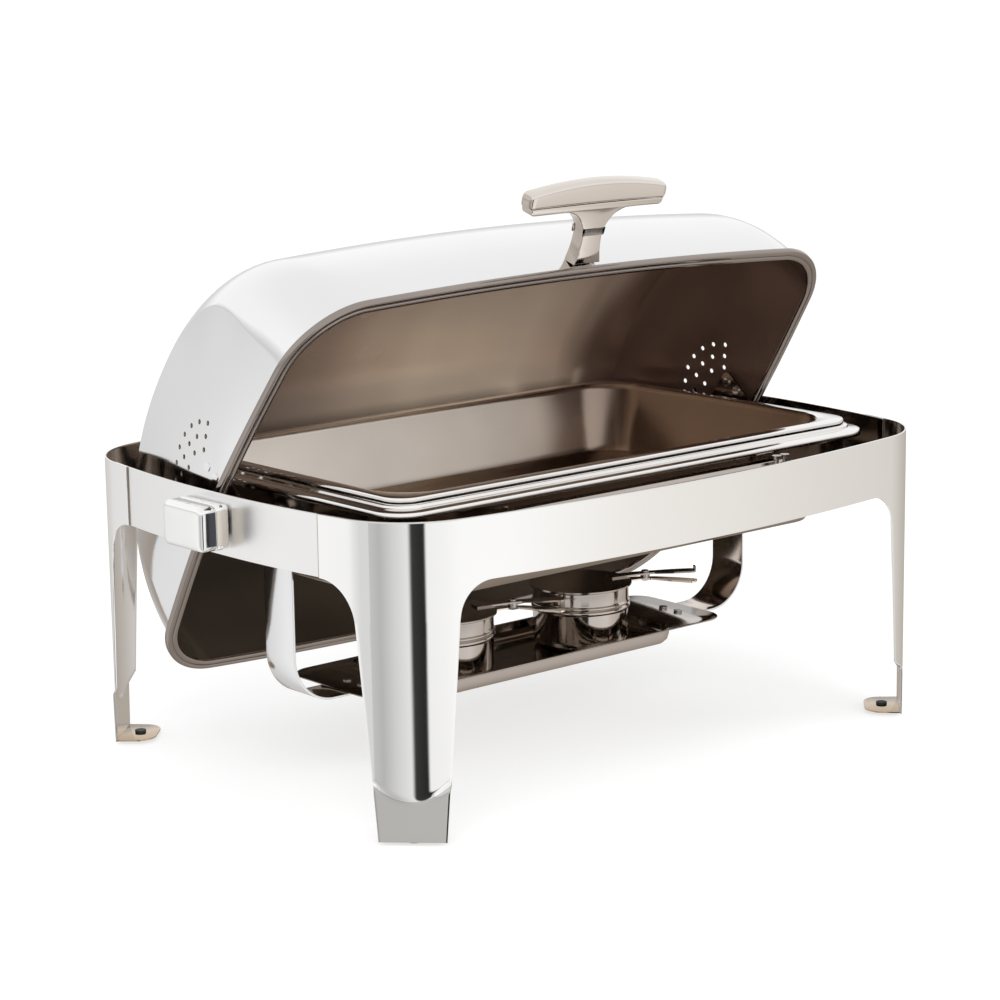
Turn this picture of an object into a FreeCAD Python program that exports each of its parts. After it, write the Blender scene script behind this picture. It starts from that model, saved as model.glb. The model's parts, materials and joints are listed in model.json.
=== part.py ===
"""Roll-top chafing dish: leg frame, rolling cover, water pan, food pan and two fuel holders.

Frame of the part: X runs along the long side, -Y is the serving side, +Z is up and the
floor is Z = 0. The cover is placed open, as it stands when food is served.
Cover pieces are drawn in the cover's own closed frame, with its origin on the hinge axis,
and their Placement lifts them to the hinge and turns them open.
"""
import FreeCAD, Part
import math
import os
from FreeCAD import Placement, Rotation
from FreeCAD import Vector as V

doc = FreeCAD.newDocument("chafing_dish")

DIMS = [
    ("half_length", 330.0, "frame outside, half the length at the middle of an end"),
    ("half_depth", 250.0, "frame outside, half the depth at the middle of a side"),
    ("corner_round", 78.0, "plan radius of the frame corners"),
    ("end_bow", 15.0, "bow of the frame ends"),
    ("side_bow", 20.0, "bow of the frame sides"),
    ("sheet_thick", 1.5, "sheet of the frame"),
    ("band_top", 264.0, "top edge of the band"),
    ("band_bottom", 212.0, "bottom edge of the band"),
    ("seam_reach", 137.0, "end seams, distance from the middle"),
    ("leg_open_foot", 266.0, "front opening, half the width at the floor"),
    ("leg_open_top", 250.0, "front opening, half the width at the fillet"),
    ("leg_open_round", 30.0, "fillet of the front opening"),
    ("foot_flat_height", 44.0, "height of the flat foot facet"),
    ("foot_pad_level", 3.0, "underside of the folded foot pad"),
    ("pivot_height", 238.0, "hinge axis above the floor"),
    ("open_angle", 55.0, "cover opening as placed"),
    ("rim_offset", 16.0, "cover rim plane above the hinge axis, closed"),
    ("cover_length", 302.0, "cover, half length at the end rounding"),
    ("cover_bulge", 10.0, "extra length at the middle of the end wall"),
    ("cover_depth", 214.0, "cover, half depth at the rim"),
    ("cover_height", 180.0, "cover, height over the rim"),
    ("cover_round", 60.0, "cover, rounding between roof and end wall"),
    ("cover_crown", 0.055, "cover, share lost from middle to end"),
    ("cover_taper", 0.10, "cover, lean of the end walls"),
    ("cover_sheet", 1.2, "cover sheet"),
    ("rim_width", 8.0, "cover rim outside the wall"),
    ("rim_thick", 3.0, "cover rim"),
    ("vent_width", 4.5, "vent hole diameter"),
    ("pan_shift", -8.0, "pans, offset towards the serving side"),
    ("water_length", 278.0, "water pan rim, half length"),
    ("water_depth", 176.0, "water pan rim, half depth"),
    ("water_rim_top", 263.0, "water pan rim, top face"),
    ("water_bottom", 178.0, "water pan, underside"),
    ("food_length", 265.0, "food pan rim, half length, full-size gastronorm"),
    ("food_depth", 162.5, "food pan rim, half depth, full-size gastronorm"),
    ("food_rim_top", 272.0, "food pan rim, top face"),
    ("food_well", 65.0, "food pan, depth"),
    ("pan_sheet", 1.2, "pan sheet"),
    ("cradle_length", 270.0, "pan cradle, half length outside"),
    ("cradle_depth", 170.0, "pan cradle, half depth outside"),
    ("cradle_top", 261.3, "pan cradle, top edge"),
    ("cradle_bottom", 222.0, "pan cradle, bottom edge"),
    ("cradle_sheet", 2.0, "pan cradle and strap sheet"),
    ("cradle_arm_end", 157.5, "pan cradle, end of the arms from the middle"),
    ("rail_half", 156.0, "front rail, half length"),
    ("rail_top", 247.5, "front rail, top face"),
    ("rail_front", 236.0, "front rail, reach towards the serving side"),
    ("axle_radius", 6.0, "hinge axle"),
    ("box_width", 57.0, "hinge box, width"),
    ("box_height", 38.0, "hinge box, height"),
    ("box_base_depth", 12.0, "hinge box base, depth"),
    ("box_cap_depth", 16.0, "hinge box cap, depth"),
    ("strap_width", 40.0, "fuel strap, width"),
    ("strap_bottom", 72.0, "fuel strap, underside"),
    ("strap_round", 42.0, "fuel strap, outside bend"),
    ("tray_half", 212.0, "fuel tray, half length"),
    ("tray_depth", 62.0, "fuel tray, half depth"),
    ("trough_half", 150.0, "fuel tray trough, half length"),
    ("trough_depth", 60.0, "fuel tray trough, half depth"),
    ("trough_drop", 14.0, "fuel tray trough, drop below the plate"),
    ("tray_sheet", 1.5, "fuel tray sheet"),
    ("cup_spacing", 82.0, "fuel holders, distance from the middle"),
    ("cup_radius", 46.0, "fuel holder cup, outside radius"),
    ("cup_height", 56.0, "fuel holder cup, height"),
    ("cup_sheet", 1.2, "fuel holder sheet"),
    ("arm_reach", 68.0, "fuel holder rivet from the cup centre"),
    ("arm_turn", -15.0, "direction of the holder handle from +X"),
    ("handle_rise", 66.0, "cover handle, base to middle of the bar"),
    ("handle_lean", 18.0, "cover handle, lean of the stem, closed"),
    ("handle_span", 158.0, "cover handle, length of the bar"),
]

# Holes and places shared by the joined pieces.
SCREW_HOLE = 2.1
SCREW_SHANK = 2.0
BOX_SCREW_REACH = 21.0
STRAP_RIVET_X = 190.0
STRAP_RIVET_YS = (-18.0, 2.0)
RAIL_RIVET_BACK = 22.0
RAIL_RIVET_RISE = 2.0
AXLE_PLAY = 0.15
NUT_FLATS = 19.0
BAND_REACH = 163.0

sheet = doc.addObject("Spreadsheet::Sheet", "Dims")
for row, (alias, value, note) in enumerate(DIMS, 1):
    sheet.set("A%d" % row, alias)
    sheet.set("B%d" % row, str(value))
    sheet.set("C%d" % row, note)
    sheet.setAlias("B%d" % row, alias)
doc.recompute()


def dim(name):
    """Value of one driving dimension, read from the sheet."""
    return float(sheet.get(name))


PIECES = []
FEATURE_COUNT = [0]


def next_name(stem):
    """A fresh internal name for a feature."""
    FEATURE_COUNT[0] += 1
    return "%s_%03d" % (stem, FEATURE_COUNT[0])


# ---------------------------------------------------------------- plane geometry


def rounded(points):
    """Closed outline through (x, y, fillet) corners, as sketch lines and arcs."""
    count = len(points)
    cuts = []
    for i in range(count):
        x, y, r = points[i]
        here = V(x, y, 0)
        before = V(points[i - 1][0], points[i - 1][1], 0)
        after = V(points[(i + 1) % count][0], points[(i + 1) % count][1], 0)
        if r <= 0:
            cuts.append((here, here, None))
            continue
        to_before = (before - here).normalize()
        to_after = (after - here).normalize()
        half = to_before.getAngle(to_after) / 2
        back = r / math.tan(half)
        start = here + to_before * back
        end = here + to_after * back
        middle = (to_before + to_after).normalize()
        centre = here + middle * (r / math.sin(half))
        cuts.append((start, end, (centre, r)))
    shapes = []
    for i in range(count):
        start, end, arc = cuts[i]
        if arc:
            centre, r = arc
            a0 = math.atan2(start.y - centre.y, start.x - centre.x)
            a1 = math.atan2(end.y - centre.y, end.x - centre.x)
            turn = (start - centre).cross(end - centre).z
            if turn < 0:
                a0, a1 = a1, a0
            if a1 < a0:
                a1 += 2 * math.pi
            circle = Part.Circle(centre, V(0, 0, 1), r)
            shapes.append(Part.ArcOfCircle(circle, a0, a1))
        following = cuts[(i + 1) % count][0]
        if (following - end).Length > 1e-6:
            shapes.append(Part.LineSegment(end, following))
    return shapes


def box_outline(half_x, half_y, r, centre_x=0.0, centre_y=0.0):
    """Rounded rectangle outline."""
    return rounded([
        (centre_x - half_x, centre_y - half_y, r),
        (centre_x + half_x, centre_y - half_y, r),
        (centre_x + half_x, centre_y + half_y, r),
        (centre_x - half_x, centre_y + half_y, r),
    ])


def circle_outline(r, x=0.0, y=0.0):
    """Full circle."""
    return [Part.Circle(V(x, y, 0), V(0, 0, 1), r)]


# ---------------------------------------------------------------- feature helpers


def new_body(label):
    """PartDesign body that becomes one node."""
    body = doc.addObject("PartDesign::Body", label)
    body.Label = label
    PIECES.append(body)
    return body


def origin_plane(body, role):
    """Origin plane or axis of a body."""
    for feature in body.Origin.OriginFeatures:
        if feature.Role == role:
            return feature
    raise ValueError(role)


def new_sketch(body, role, shapes, start=0.0, start_expr=None):
    """Sketch on an origin plane, moved along the plane's normal by start."""
    sketch = body.newObject("Sketcher::SketchObject", next_name("Sketch"))
    sketch.AttachmentSupport = (origin_plane(body, role), [""])
    sketch.MapMode = "FlatFace"
    sketch.AttachmentOffset = Placement(V(0, 0, start), Rotation())
    if start_expr:
        sketch.setExpression(".AttachmentOffset.Base.z", start_expr)
    sketch.addGeometry(shapes, False)
    return sketch


def check_change(body, before, grows, name):
    """A feature has to change the volume in its own direction."""
    doc.recompute()
    after = body.Shape.Volume
    if grows and after <= before + 1e-6:
        raise RuntimeError("%s adds nothing to %s" % (name, body.Label))
    if not grows and after >= before - 1e-6:
        raise RuntimeError("%s cuts nothing from %s" % (name, body.Label))


def volume_of(body):
    """Volume of the body so far."""
    if body.Tip is None or body.Shape.isNull():
        return 0.0
    return body.Shape.Volume


def pad(body, role, shapes, start, length, start_expr=None, length_expr=None):
    """Pad from start over length along the plane's normal."""
    before = volume_of(body)
    sketch = new_sketch(body, role, shapes, start, start_expr)
    feature = body.newObject("PartDesign::Pad", next_name("Pad"))
    feature.Profile = sketch
    feature.Length = length
    if length_expr:
        feature.setExpression("Length", length_expr)
    check_change(body, before, True, feature.Name)
    return feature


def pocket(body, role, shapes, start, length, start_expr=None, length_expr=None):
    """Pocket from start over length along the plane's normal."""
    before = volume_of(body)
    sketch = new_sketch(body, role, shapes, start, start_expr)
    feature = body.newObject("PartDesign::Pocket", next_name("Pocket"))
    feature.Profile = sketch
    feature.Length = length
    feature.Reversed = True
    if length_expr:
        feature.setExpression("Length", length_expr)
    check_change(body, before, False, feature.Name)
    return feature


def loft(body, sections, cuts=False):
    """Straight loft through (outline, height) sections."""
    before = volume_of(body)
    sketches = [new_sketch(body, "XY_Plane", shapes, z) for shapes, z in sections]
    kind = "PartDesign::SubtractiveLoft" if cuts else "PartDesign::AdditiveLoft"
    feature = body.newObject(kind, next_name("Loft"))
    feature.Profile = sketches[0]
    feature.Sections = sketches[1:]
    feature.Ruled = True
    check_change(body, before, not cuts, feature.Name)
    return feature


def drawn_sections(low, high, inset, turn):
    """Sections of a drawn pan: (half x, half y, corner, z) low and high, with a rounded bottom.

    inset moves every section inwards, turn is the radius between floor and wall.
    """
    x0, y0, r0, z0 = low
    x1, y1, r1, z1 = high
    sections = []
    for degrees in (0, 30, 60, 90):
        angle = math.radians(degrees)
        back = turn * (1 - math.sin(angle)) + inset
        up = turn * (1 - math.cos(angle))
        share = up / (z1 - z0)
        half_x = x0 + (x1 - x0) * share - back
        half_y = y0 + (y1 - y0) * share - back
        sections.append((box_outline(half_x, half_y, max(r0 - back, 3), 0, shift), z0 + up))
    sections.append((box_outline(x1 - inset, y1 - inset, r1, 0, shift), z1))
    return sections


def revolve(body, role, axis, points):
    """Full revolution of a closed outline about one of the body's axes."""
    sketch = new_sketch(body, role, rounded(points))
    feature = body.newObject("PartDesign::Revolution", next_name("Revolution"))
    feature.Profile = sketch
    feature.ReferenceAxis = (origin_plane(body, axis), [""])
    feature.Angle = 360
    doc.recompute()
    return feature


def fillet_edges(body, radius, wanted):
    """Fillet the tip's edges that a test picks."""
    tip = body.Tip
    names = []
    for number, edge in enumerate(tip.Shape.Edges, 1):
        if wanted(edge):
            names.append("Edge%d" % number)
    if not names:
        raise RuntimeError("no edges to fillet on %s" % body.Label)
    feature = body.newObject("PartDesign::Fillet", next_name("Fillet"))
    feature.Base = (tip, names)
    feature.Radius = radius
    doc.recompute()
    if "Invalid" in feature.State:
        raise RuntimeError("fillet fails on %s" % body.Label)
    return feature


def cover_place(item):
    """Place a piece drawn in the cover's closed frame at the open cover."""
    item.Placement = Placement(
        V(0, 0, dim("pivot_height")),
        Rotation(V(1, 0, 0), -dim("open_angle")))
    item.setExpression(".Placement.Base.z", "Dims.pivot_height")
    item.setExpression(".Placement.Rotation.Angle", "Dims.open_angle * 1deg")
    item.setExpression(".Placement.Rotation.Axis.x", "-1")


def shape_feature(label, shape):
    """Piece whose shape comes from surface functions."""
    feature = doc.addObject("Part::Feature", label)
    feature.Label = label
    feature.Shape = shape
    PIECES.append(feature)
    return feature


def group_feature(label, solids):
    """One node of several equal solids."""
    return shape_feature(label, Part.makeCompound(solids))


# ---------------------------------------------------------------- frame plan


def frame_plan():
    """Centres and meeting angles of the bowed, rounded frame outline."""
    a = dim("half_length")
    b = dim("half_depth")
    r = dim("corner_round")
    end_r = ((b - r) ** 2 + dim("end_bow") ** 2) / (2 * dim("end_bow"))
    side_r = ((a - r) ** 2 + dim("side_bow") ** 2) / (2 * dim("side_bow"))
    end_c = V(a - end_r, 0, 0)
    side_c = V(0, b - side_r, 0)
    gap = side_c - end_c
    d = gap.Length
    r1 = end_r - r
    r2 = side_r - r
    along = (r1 * r1 - r2 * r2 + d * d) / (2 * d)
    across = math.sqrt(r1 * r1 - along * along)
    unit = gap * (1 / d)
    foot = end_c + unit * along
    picks = [
        foot + V(-unit.y, unit.x, 0) * across,
        foot - V(-unit.y, unit.x, 0) * across,
    ]
    corner = max(picks, key=lambda p: p.x + p.y)
    end_t = math.atan2(corner.y - end_c.y, corner.x - end_c.x)
    side_t = math.atan2(corner.y - side_c.y, corner.x - side_c.x)
    return end_r, side_r, end_c, side_c, corner, end_t, side_t


END_R, SIDE_R, END_C, SIDE_C, CORNER, END_T, SIDE_T = frame_plan()


def arc(cx, cy, r, a0, a1):
    """Counter-clockwise sketch arc."""
    return Part.ArcOfCircle(Part.Circle(V(cx, cy, 0), V(0, 0, 1), r), a0, a1)


def on_arc(cx, cy, r, a):
    """Point of an arc."""
    return V(cx + r * math.cos(a), cy + r * math.sin(a), 0)


def panel_outline(thick):
    """Plan of the front leg panel: end, corner, side, corner, end, as a thin strip."""
    seam = math.asin(dim("seam_reach") / END_R)
    r = dim("corner_round")
    shapes = []
    ends = []
    for inset in (0.0, thick):
        shapes.append(arc(-END_C.x, 0, END_R - inset, math.pi + seam, math.pi + END_T))
        shapes.append(arc(-CORNER.x, -CORNER.y, r - inset, math.pi + END_T, math.pi + SIDE_T))
        shapes.append(arc(0, -SIDE_C.y, SIDE_R - inset, math.pi + SIDE_T, 2 * math.pi - SIDE_T))
        shapes.append(arc(CORNER.x, -CORNER.y, r - inset, -SIDE_T, -END_T))
        shapes.append(arc(END_C.x, 0, END_R - inset, -END_T, -seam))
        ends.append((
            on_arc(-END_C.x, 0, END_R - inset, math.pi + seam),
            on_arc(END_C.x, 0, END_R - inset, -seam)))
    shapes.append(Part.LineSegment(ends[0][0], ends[1][0]))
    shapes.append(Part.LineSegment(ends[0][1], ends[1][1]))
    return shapes


# The flat foot facet stands at 45 degrees, a little inside the rounded corner.
FACET_HALF = 29.6
FACET_SHIFT = -4.8
FACET_FROM_CENTRE = 75.9
DIAG = math.sqrt(0.5)
FACET_MID = V(-CORNER.x, -CORNER.y, 0) + V(-DIAG, -DIAG, 0) * FACET_FROM_CENTRE


def foot_point(sign_x, along, inward):
    """Point near a front foot: along the facet and inward from its outer face."""
    along = along + FACET_SHIFT
    x = FACET_MID.x - DIAG * along + DIAG * inward
    y = FACET_MID.y + DIAG * along + DIAG * inward
    return (x if sign_x < 0 else -x), y


def foot_shape(sign_x, corners):
    """Outline in facet coordinates, mirrored to one of the two front feet."""
    points = []
    for along, inward, r in corners:
        x, y = foot_point(sign_x, along, inward)
        points.append((x, y, r))
    return rounded(points)


def ledge_outline(sign_x):
    """Shelf that joins the rounded corner to the top of the flat facet."""
    r = dim("corner_round")
    low = math.asin((FACET_SHIFT - FACET_HALF - 0.4) / r)
    high = math.asin((FACET_SHIFT + FACET_HALF + 0.4) / r)
    if sign_x < 0:
        a0 = math.pi * 1.25 - high
        a1 = math.pi * 1.25 - low
    else:
        a0 = math.pi * 1.75 + low
        a1 = math.pi * 1.75 + high
    cx = sign_x * CORNER.x
    cy = -CORNER.y
    first = on_arc(cx, cy, r, a0)
    last = on_arc(cx, cy, r, a1)
    inner = dim("sheet_thick") + 0.6
    near = foot_point(sign_x, FACET_HALF - 1, inner)
    far = foot_point(sign_x, 1 - FACET_HALF, inner)
    if sign_x > 0:
        near, far = far, near
    near = V(near[0], near[1], 0)
    far = V(far[0], far[1], 0)
    return [
        arc(cx, cy, r, a0, a1),
        Part.LineSegment(last, far),
        Part.LineSegment(far, near),
        Part.LineSegment(near, first),
    ]


def leg_panel(label, turned):
    """One long side of the frame with its two legs, pressed from one sheet."""
    body = new_body(label)
    thick = dim("sheet_thick")
    top = dim("band_top")
    pad(body, "XY_Plane", panel_outline(thick), 0, top, length_expr="Dims.band_top")
    # Opening between the legs, seen from the front.
    foot_x = dim("leg_open_foot")
    top_x = dim("leg_open_top")
    band = dim("band_bottom")
    r = dim("leg_open_round")
    opening = rounded([
        (-foot_x, -1, 0), (foot_x, -1, 0), (top_x, band, r), (-top_x, band, r)])
    pocket(body, "XZ_Plane", opening, 150, 150)
    # Openings at the ends, seen from the side.
    side = rounded([
        (-191, -1, 0), (-100, -1, 0), (-100, band, 0), (-171, band, 36)])
    pocket(body, "YZ_Plane", side, -400, 800)
    # Foot: everything under the flat height goes, then the flat facet comes back.
    flat = dim("foot_flat_height")
    pocket(body, "XY_Plane", box_outline(400, 300, 0), -1, flat + 1,
           length_expr="Dims.foot_flat_height + 1")
    for sign in (-1, 1):
        pad(body, "XY_Plane", ledge_outline(sign), flat, thick,
            "Dims.foot_flat_height", "Dims.sheet_thick")
        facet = foot_shape(sign, [
            (-FACET_HALF, 0, 0), (FACET_HALF, 0, 0),
            (FACET_HALF, thick, 0), (-FACET_HALF, thick, 0)])
        pad(body, "XY_Plane", facet, dim("foot_pad_level"), flat - dim("foot_pad_level"),
            "Dims.foot_pad_level", "Dims.foot_flat_height - Dims.foot_pad_level")
        fold = foot_shape(sign, [
            (-26, 0, 0), (26, 0, 0), (25, 33, 16), (-25, 33, 16)])
        pad(body, "XY_Plane", fold, dim("foot_pad_level"), thick,
            "Dims.foot_pad_level", "Dims.sheet_thick")
        x, y = foot_point(sign, 0, 17)
        pocket(body, "XY_Plane", circle_outline(2.6, x, y), 0, 10)
    if turned:
        body.Placement = Placement(V(0, 0, 0), Rotation(V(0, 0, 1), 180))
    return body


leg_panel("front_leg_panel", False)
leg_panel("rear_leg_panel", True)


def end_band(label, turned):
    """Strip across one end, tucked behind the leg panels."""
    body = new_body(label)
    thick = dim("sheet_thick")
    outer = END_R - thick - 0.05
    reach = math.asin(BAND_REACH / END_R)
    shapes = [
        arc(END_C.x, 0, outer, -reach, reach),
        arc(END_C.x, 0, outer - thick, -reach, reach),
        Part.LineSegment(on_arc(END_C.x, 0, outer, reach),
                         on_arc(END_C.x, 0, outer - thick, reach)),
        Part.LineSegment(on_arc(END_C.x, 0, outer, -reach),
                         on_arc(END_C.x, 0, outer - thick, -reach)),
    ]
    pad(body, "XY_Plane", shapes, dim("band_bottom"), dim("band_top") - dim("band_bottom"),
        "Dims.band_bottom", "Dims.band_top - Dims.band_bottom")
    # Hole for the hinge axle, and two for the screws of the hinge box.
    level = dim("pivot_height")
    holes = circle_outline(dim("axle_radius") + 3.2, 0, level)
    holes += circle_outline(SCREW_HOLE, -BOX_SCREW_REACH, level)
    holes += circle_outline(SCREW_HOLE, BOX_SCREW_REACH, level)
    pocket(body, "YZ_Plane", holes, 300, 60)
    if turned:
        body.Placement = Placement(V(0, 0, 0), Rotation(V(0, 0, 1), 180))
    return body


end_band("right_end_band", False)
end_band("left_end_band", True)


def bumper(x, y):
    """Rubber foot with a stem through the pad and a button head over it."""
    level = dim("foot_pad_level")
    thick = dim("sheet_thick")
    disc = Part.makeCylinder(9.0, level - 0.05, V(x, y, 0))
    stem = Part.makeCylinder(2.4, level + thick, V(x, y, 0.5))
    head = Part.makeCylinder(5.0, 2.2, V(x, y, level + thick + 0.05))
    return disc.fuse([stem, head]).removeSplitter()


feet = []
for sign in (-1, 1):
    x, y = foot_point(sign, 0, 17)
    feet.append(bumper(x, y))
    feet.append(bumper(-x, -y))
group_feature("foot_bumpers", feet)

# ---------------------------------------------------------------- pan cradles and front rail


def cradle(label, sign):
    """U-shaped strip round one end of the water pan. It carries the pan, the strap and a hinge."""
    body = new_body(label)
    thick = dim("cradle_sheet")
    hx = dim("cradle_length")
    hy = dim("cradle_depth")
    shift = dim("pan_shift")
    r = 42.0
    end = dim("cradle_arm_end")
    low = dim("cradle_bottom")
    high = dim("cradle_top")
    outline = rounded([
        (sign * end, shift - hy, 0),
        (sign * hx, shift - hy, r),
        (sign * hx, shift + hy, r),
        (sign * end, shift + hy, 0),
        (sign * end, shift + hy - thick, 0),
        (sign * (hx - thick), shift + hy - thick, r - thick),
        (sign * (hx - thick), shift - hy + thick, r - thick),
        (sign * end, shift - hy + thick, 0),
    ])
    pad(body, "XY_Plane", outline, low, high - low,
        "Dims.cradle_bottom", "Dims.cradle_top - Dims.cradle_bottom")
    # Arms are cut down to a narrower strip with a rounded lower end.
    rear_cut = rounded([
        (sign * (end - 5), low - 1, 0), (sign * 225, low - 1, 0),
        (sign * 210, low + 12, 10), (sign * (end - 5), low + 12, 0)])
    pocket(body, "XZ_Plane", rear_cut, -230, 480)
    # Tab against the end of the front rail.
    tab_y = shift - hy
    tab = [
        (tab_y - 44, low + 13, 3), (tab_y + thick, low + 13, 0),
        (tab_y + thick, dim("rail_top") + 2, 0), (tab_y - 44, dim("rail_top") - 1.7, 0)]
    start = end if sign > 0 else -end - 1.5
    pad(body, "YZ_Plane", rounded(tab), start, 1.5)
    hole_start = 200 if sign > 0 else -300
    level = dim("pivot_height")
    pocket(body, "YZ_Plane", circle_outline(dim("axle_radius") + AXLE_PLAY, 0, level),
           hole_start, 100)
    rivet_hole = circle_outline(SCREW_HOLE, tab_y - RAIL_RIVET_BACK, level + RAIL_RIVET_RISE)
    pocket(body, "YZ_Plane", rivet_hole, start - 1, 3.5)
    return body


cradle("left_pan_cradle", -1)
cradle("right_pan_cradle", 1)

rail = new_body("front_rail")
rail_back = -(dim("pan_shift") - dim("cradle_depth"))
rail_profile = [
    (-rail_back, 234, 0), (-rail_back, 250.5, 0), (-rail_back - 9, 250.5, 1.5),
    (-rail_back - 11, 247.5, 1.5), (-dim("rail_front"), 247.5, 2), (-dim("rail_front"), 232, 0),
    (-dim("rail_front") + 1.5, 232, 0), (-dim("rail_front") + 1.5, 246, 0.5),
    (-rail_back - 10.2, 246, 1), (-rail_back - 8.2, 249, 1), (-rail_back - 1.5, 249, 0),
    (-rail_back - 1.5, 234, 0),
]
pad(rail, "YZ_Plane", rounded(rail_profile), -dim("rail_half"), 2 * dim("rail_half"),
    "-Dims.rail_half", "2 * Dims.rail_half")
end_plate = [
    (-rail_back - 1.0, 235.5, 0), (-rail_back - 1.0, 249.5, 0), (-rail_back - 8.6, 249.5, 0),
    (-rail_back - 10.6, 246.6, 0), (-dim("rail_front") + 1, 246.6, 0),
    (-dim("rail_front") + 1, 233, 0)]
for start in (-dim("rail_half"), dim("rail_half") - 1.5):
    pad(rail, "YZ_Plane", rounded(end_plate), start, 1.5)
RAIL_RIVET_Y = -rail_back - RAIL_RIVET_BACK
RAIL_RIVET_Z = dim("pivot_height") + RAIL_RIVET_RISE
pocket(rail, "YZ_Plane", circle_outline(SCREW_HOLE, RAIL_RIVET_Y, RAIL_RIVET_Z), -200, 400)
PIN_Y = -rail_back - 15.5
PIN_XS = (141.0, 151.0)
PIN_FOOT = 1.6
PIN_HEIGHT = 9.0
for pin_x in PIN_XS:
    pocket(rail, "XY_Plane", circle_outline(2.05, pin_x, PIN_Y), 240, 20)


def rail_rivet(sign):
    """Rivet through the cradle tab and the end of the rail."""
    x0 = sign * (dim("rail_half") - 1.5)
    axis = V(sign, 0, 0)
    y = RAIL_RIVET_Y
    z = RAIL_RIVET_Z
    shank = Part.makeCylinder(SCREW_SHANK, 5.6, V(x0 - sign * 1.0, y, z), axis)
    outer = Part.makeCylinder(4.0, 1.4, V(x0 + sign * 4.55, y, z), axis)
    inner = Part.makeCylinder(4.0, 1.4, V(x0 - sign * 1.45, y, z), axis)
    return shank.fuse([outer, inner]).removeSplitter()


group_feature("rail_rivets", [rail_rivet(-1), rail_rivet(1)])


def guide_pin(x):
    """Small turned post on the rail that keeps the water pan centred."""
    level = dim("rail_top")
    head = Part.makeCylinder(4.2, 3.0, V(x, PIN_Y, level + PIN_HEIGHT - 3.0))
    stem = Part.makeCylinder(2.0, PIN_HEIGHT + 0.4, V(x, PIN_Y, level - 1.4))
    foot = Part.makeCylinder(3.8, PIN_FOOT, V(x, PIN_Y, level))
    return head.fuse([stem, foot]).removeSplitter()


group_feature("pan_guide_pins", [guide_pin(pin_x) for pin_x in PIN_XS])


def rail_tab(x):
    """Welded tab between the rail and the front panel."""
    reach = SIDE_R - dim("sheet_thick")
    y_panel = -SIDE_C.y - math.sqrt(reach ** 2 - (abs(x) + 8) ** 2)
    y_rail = -dim("rail_front") - 0.03
    return Part.makeBox(16, y_rail - y_panel - 0.1, 9, V(x - 8, y_panel + 0.1, 235))


group_feature("rail_tabs", [rail_tab(-120.0), rail_tab(120.0)])

# ---------------------------------------------------------------- hinges

BOX_START = dim("half_length") + 0.05


def side_place(item, sign):
    """A hinge piece is drawn for the right end; the left one is turned half round."""
    level = dim("pivot_height")
    turn = Rotation() if sign > 0 else Rotation(V(0, 0, 1), 180)
    item.Placement = Placement(V(0, 0, level), turn)
    item.setExpression(".Placement.Base.z", "Dims.pivot_height")


def axle(label, sign):
    """Stepped pin through hinge box, band, cover plate and cradle."""
    body = new_body(label)
    r = dim("axle_radius")
    revolve(body, "XZ_Plane", "X_Axis", [
        (257.6, 0, 0), (344, 0, 0), (344, r, 1.0), (294, r, 0), (294, r + 5, 0),
        (285, r + 5, 0), (285, r, 0), (257.6, r, 1.0)])
    side_place(body, sign)
    return body


def ring_piece(label, sign, x0, x1, inner, outer):
    """Bush or washer round the axle."""
    body = new_body(label)
    shapes = circle_outline(outer) + circle_outline(inner)
    pad(body, "YZ_Plane", shapes, x0, x1 - x0)
    side_place(body, sign)
    return body


def hinge_base(label, sign):
    """Back half of the hinge box, against the band."""
    body = new_body(label)
    w = dim("box_width") / 2
    t = dim("box_height") / 2
    depth = dim("box_base_depth")
    pad(body, "YZ_Plane", box_outline(w, t, 5), BOX_START, depth,
        "Dims.half_length + 0.05", "Dims.box_base_depth")
    pocket(body, "YZ_Plane", circle_outline(12.5), BOX_START + 2.45, 20)
    holes = circle_outline(dim("axle_radius") + AXLE_PLAY)
    holes += circle_outline(SCREW_HOLE, -BOX_SCREW_REACH, 0)
    holes += circle_outline(SCREW_HOLE, BOX_SCREW_REACH, 0)
    pocket(body, "YZ_Plane", holes, 325, 25)
    side_place(body, sign)
    return body


def hinge_cap(label, sign):
    """Rounded front half of the hinge box, hollow, with polished faces."""
    body = new_body(label)
    w = dim("box_width") / 2
    t = dim("box_height") / 2
    depth = dim("box_cap_depth")
    start = BOX_START + dim("box_base_depth") + 0.1
    pad(body, "YZ_Plane", box_outline(w, t, 6), start, depth,
        length_expr="Dims.box_cap_depth")
    face = start + depth
    fillet_edges(body, 3.0, lambda e: abs(e.BoundBox.XMin - face) < 1e-3)
    pocket(body, "YZ_Plane", box_outline(w - 2.5, t - 2.5, 3.5), start - 1, depth - 2.5)
    side_place(body, sign)
    return body


for side_name, sign in (("left", -1), ("right", 1)):
    axle(side_name + "_hinge_axle", sign)
    bush_r = dim("axle_radius") + AXLE_PLAY
    ring_piece(side_name + "_hinge_spacer", sign, 305.4, 330.0, bush_r, 9.0)
    ring_piece(side_name + "_friction_washer", sign, 294.05, 302.2, bush_r, 15.0)
    hinge_base(side_name + "_hinge_base", sign)
    hinge_cap(side_name + "_hinge_cap", sign)

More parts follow.
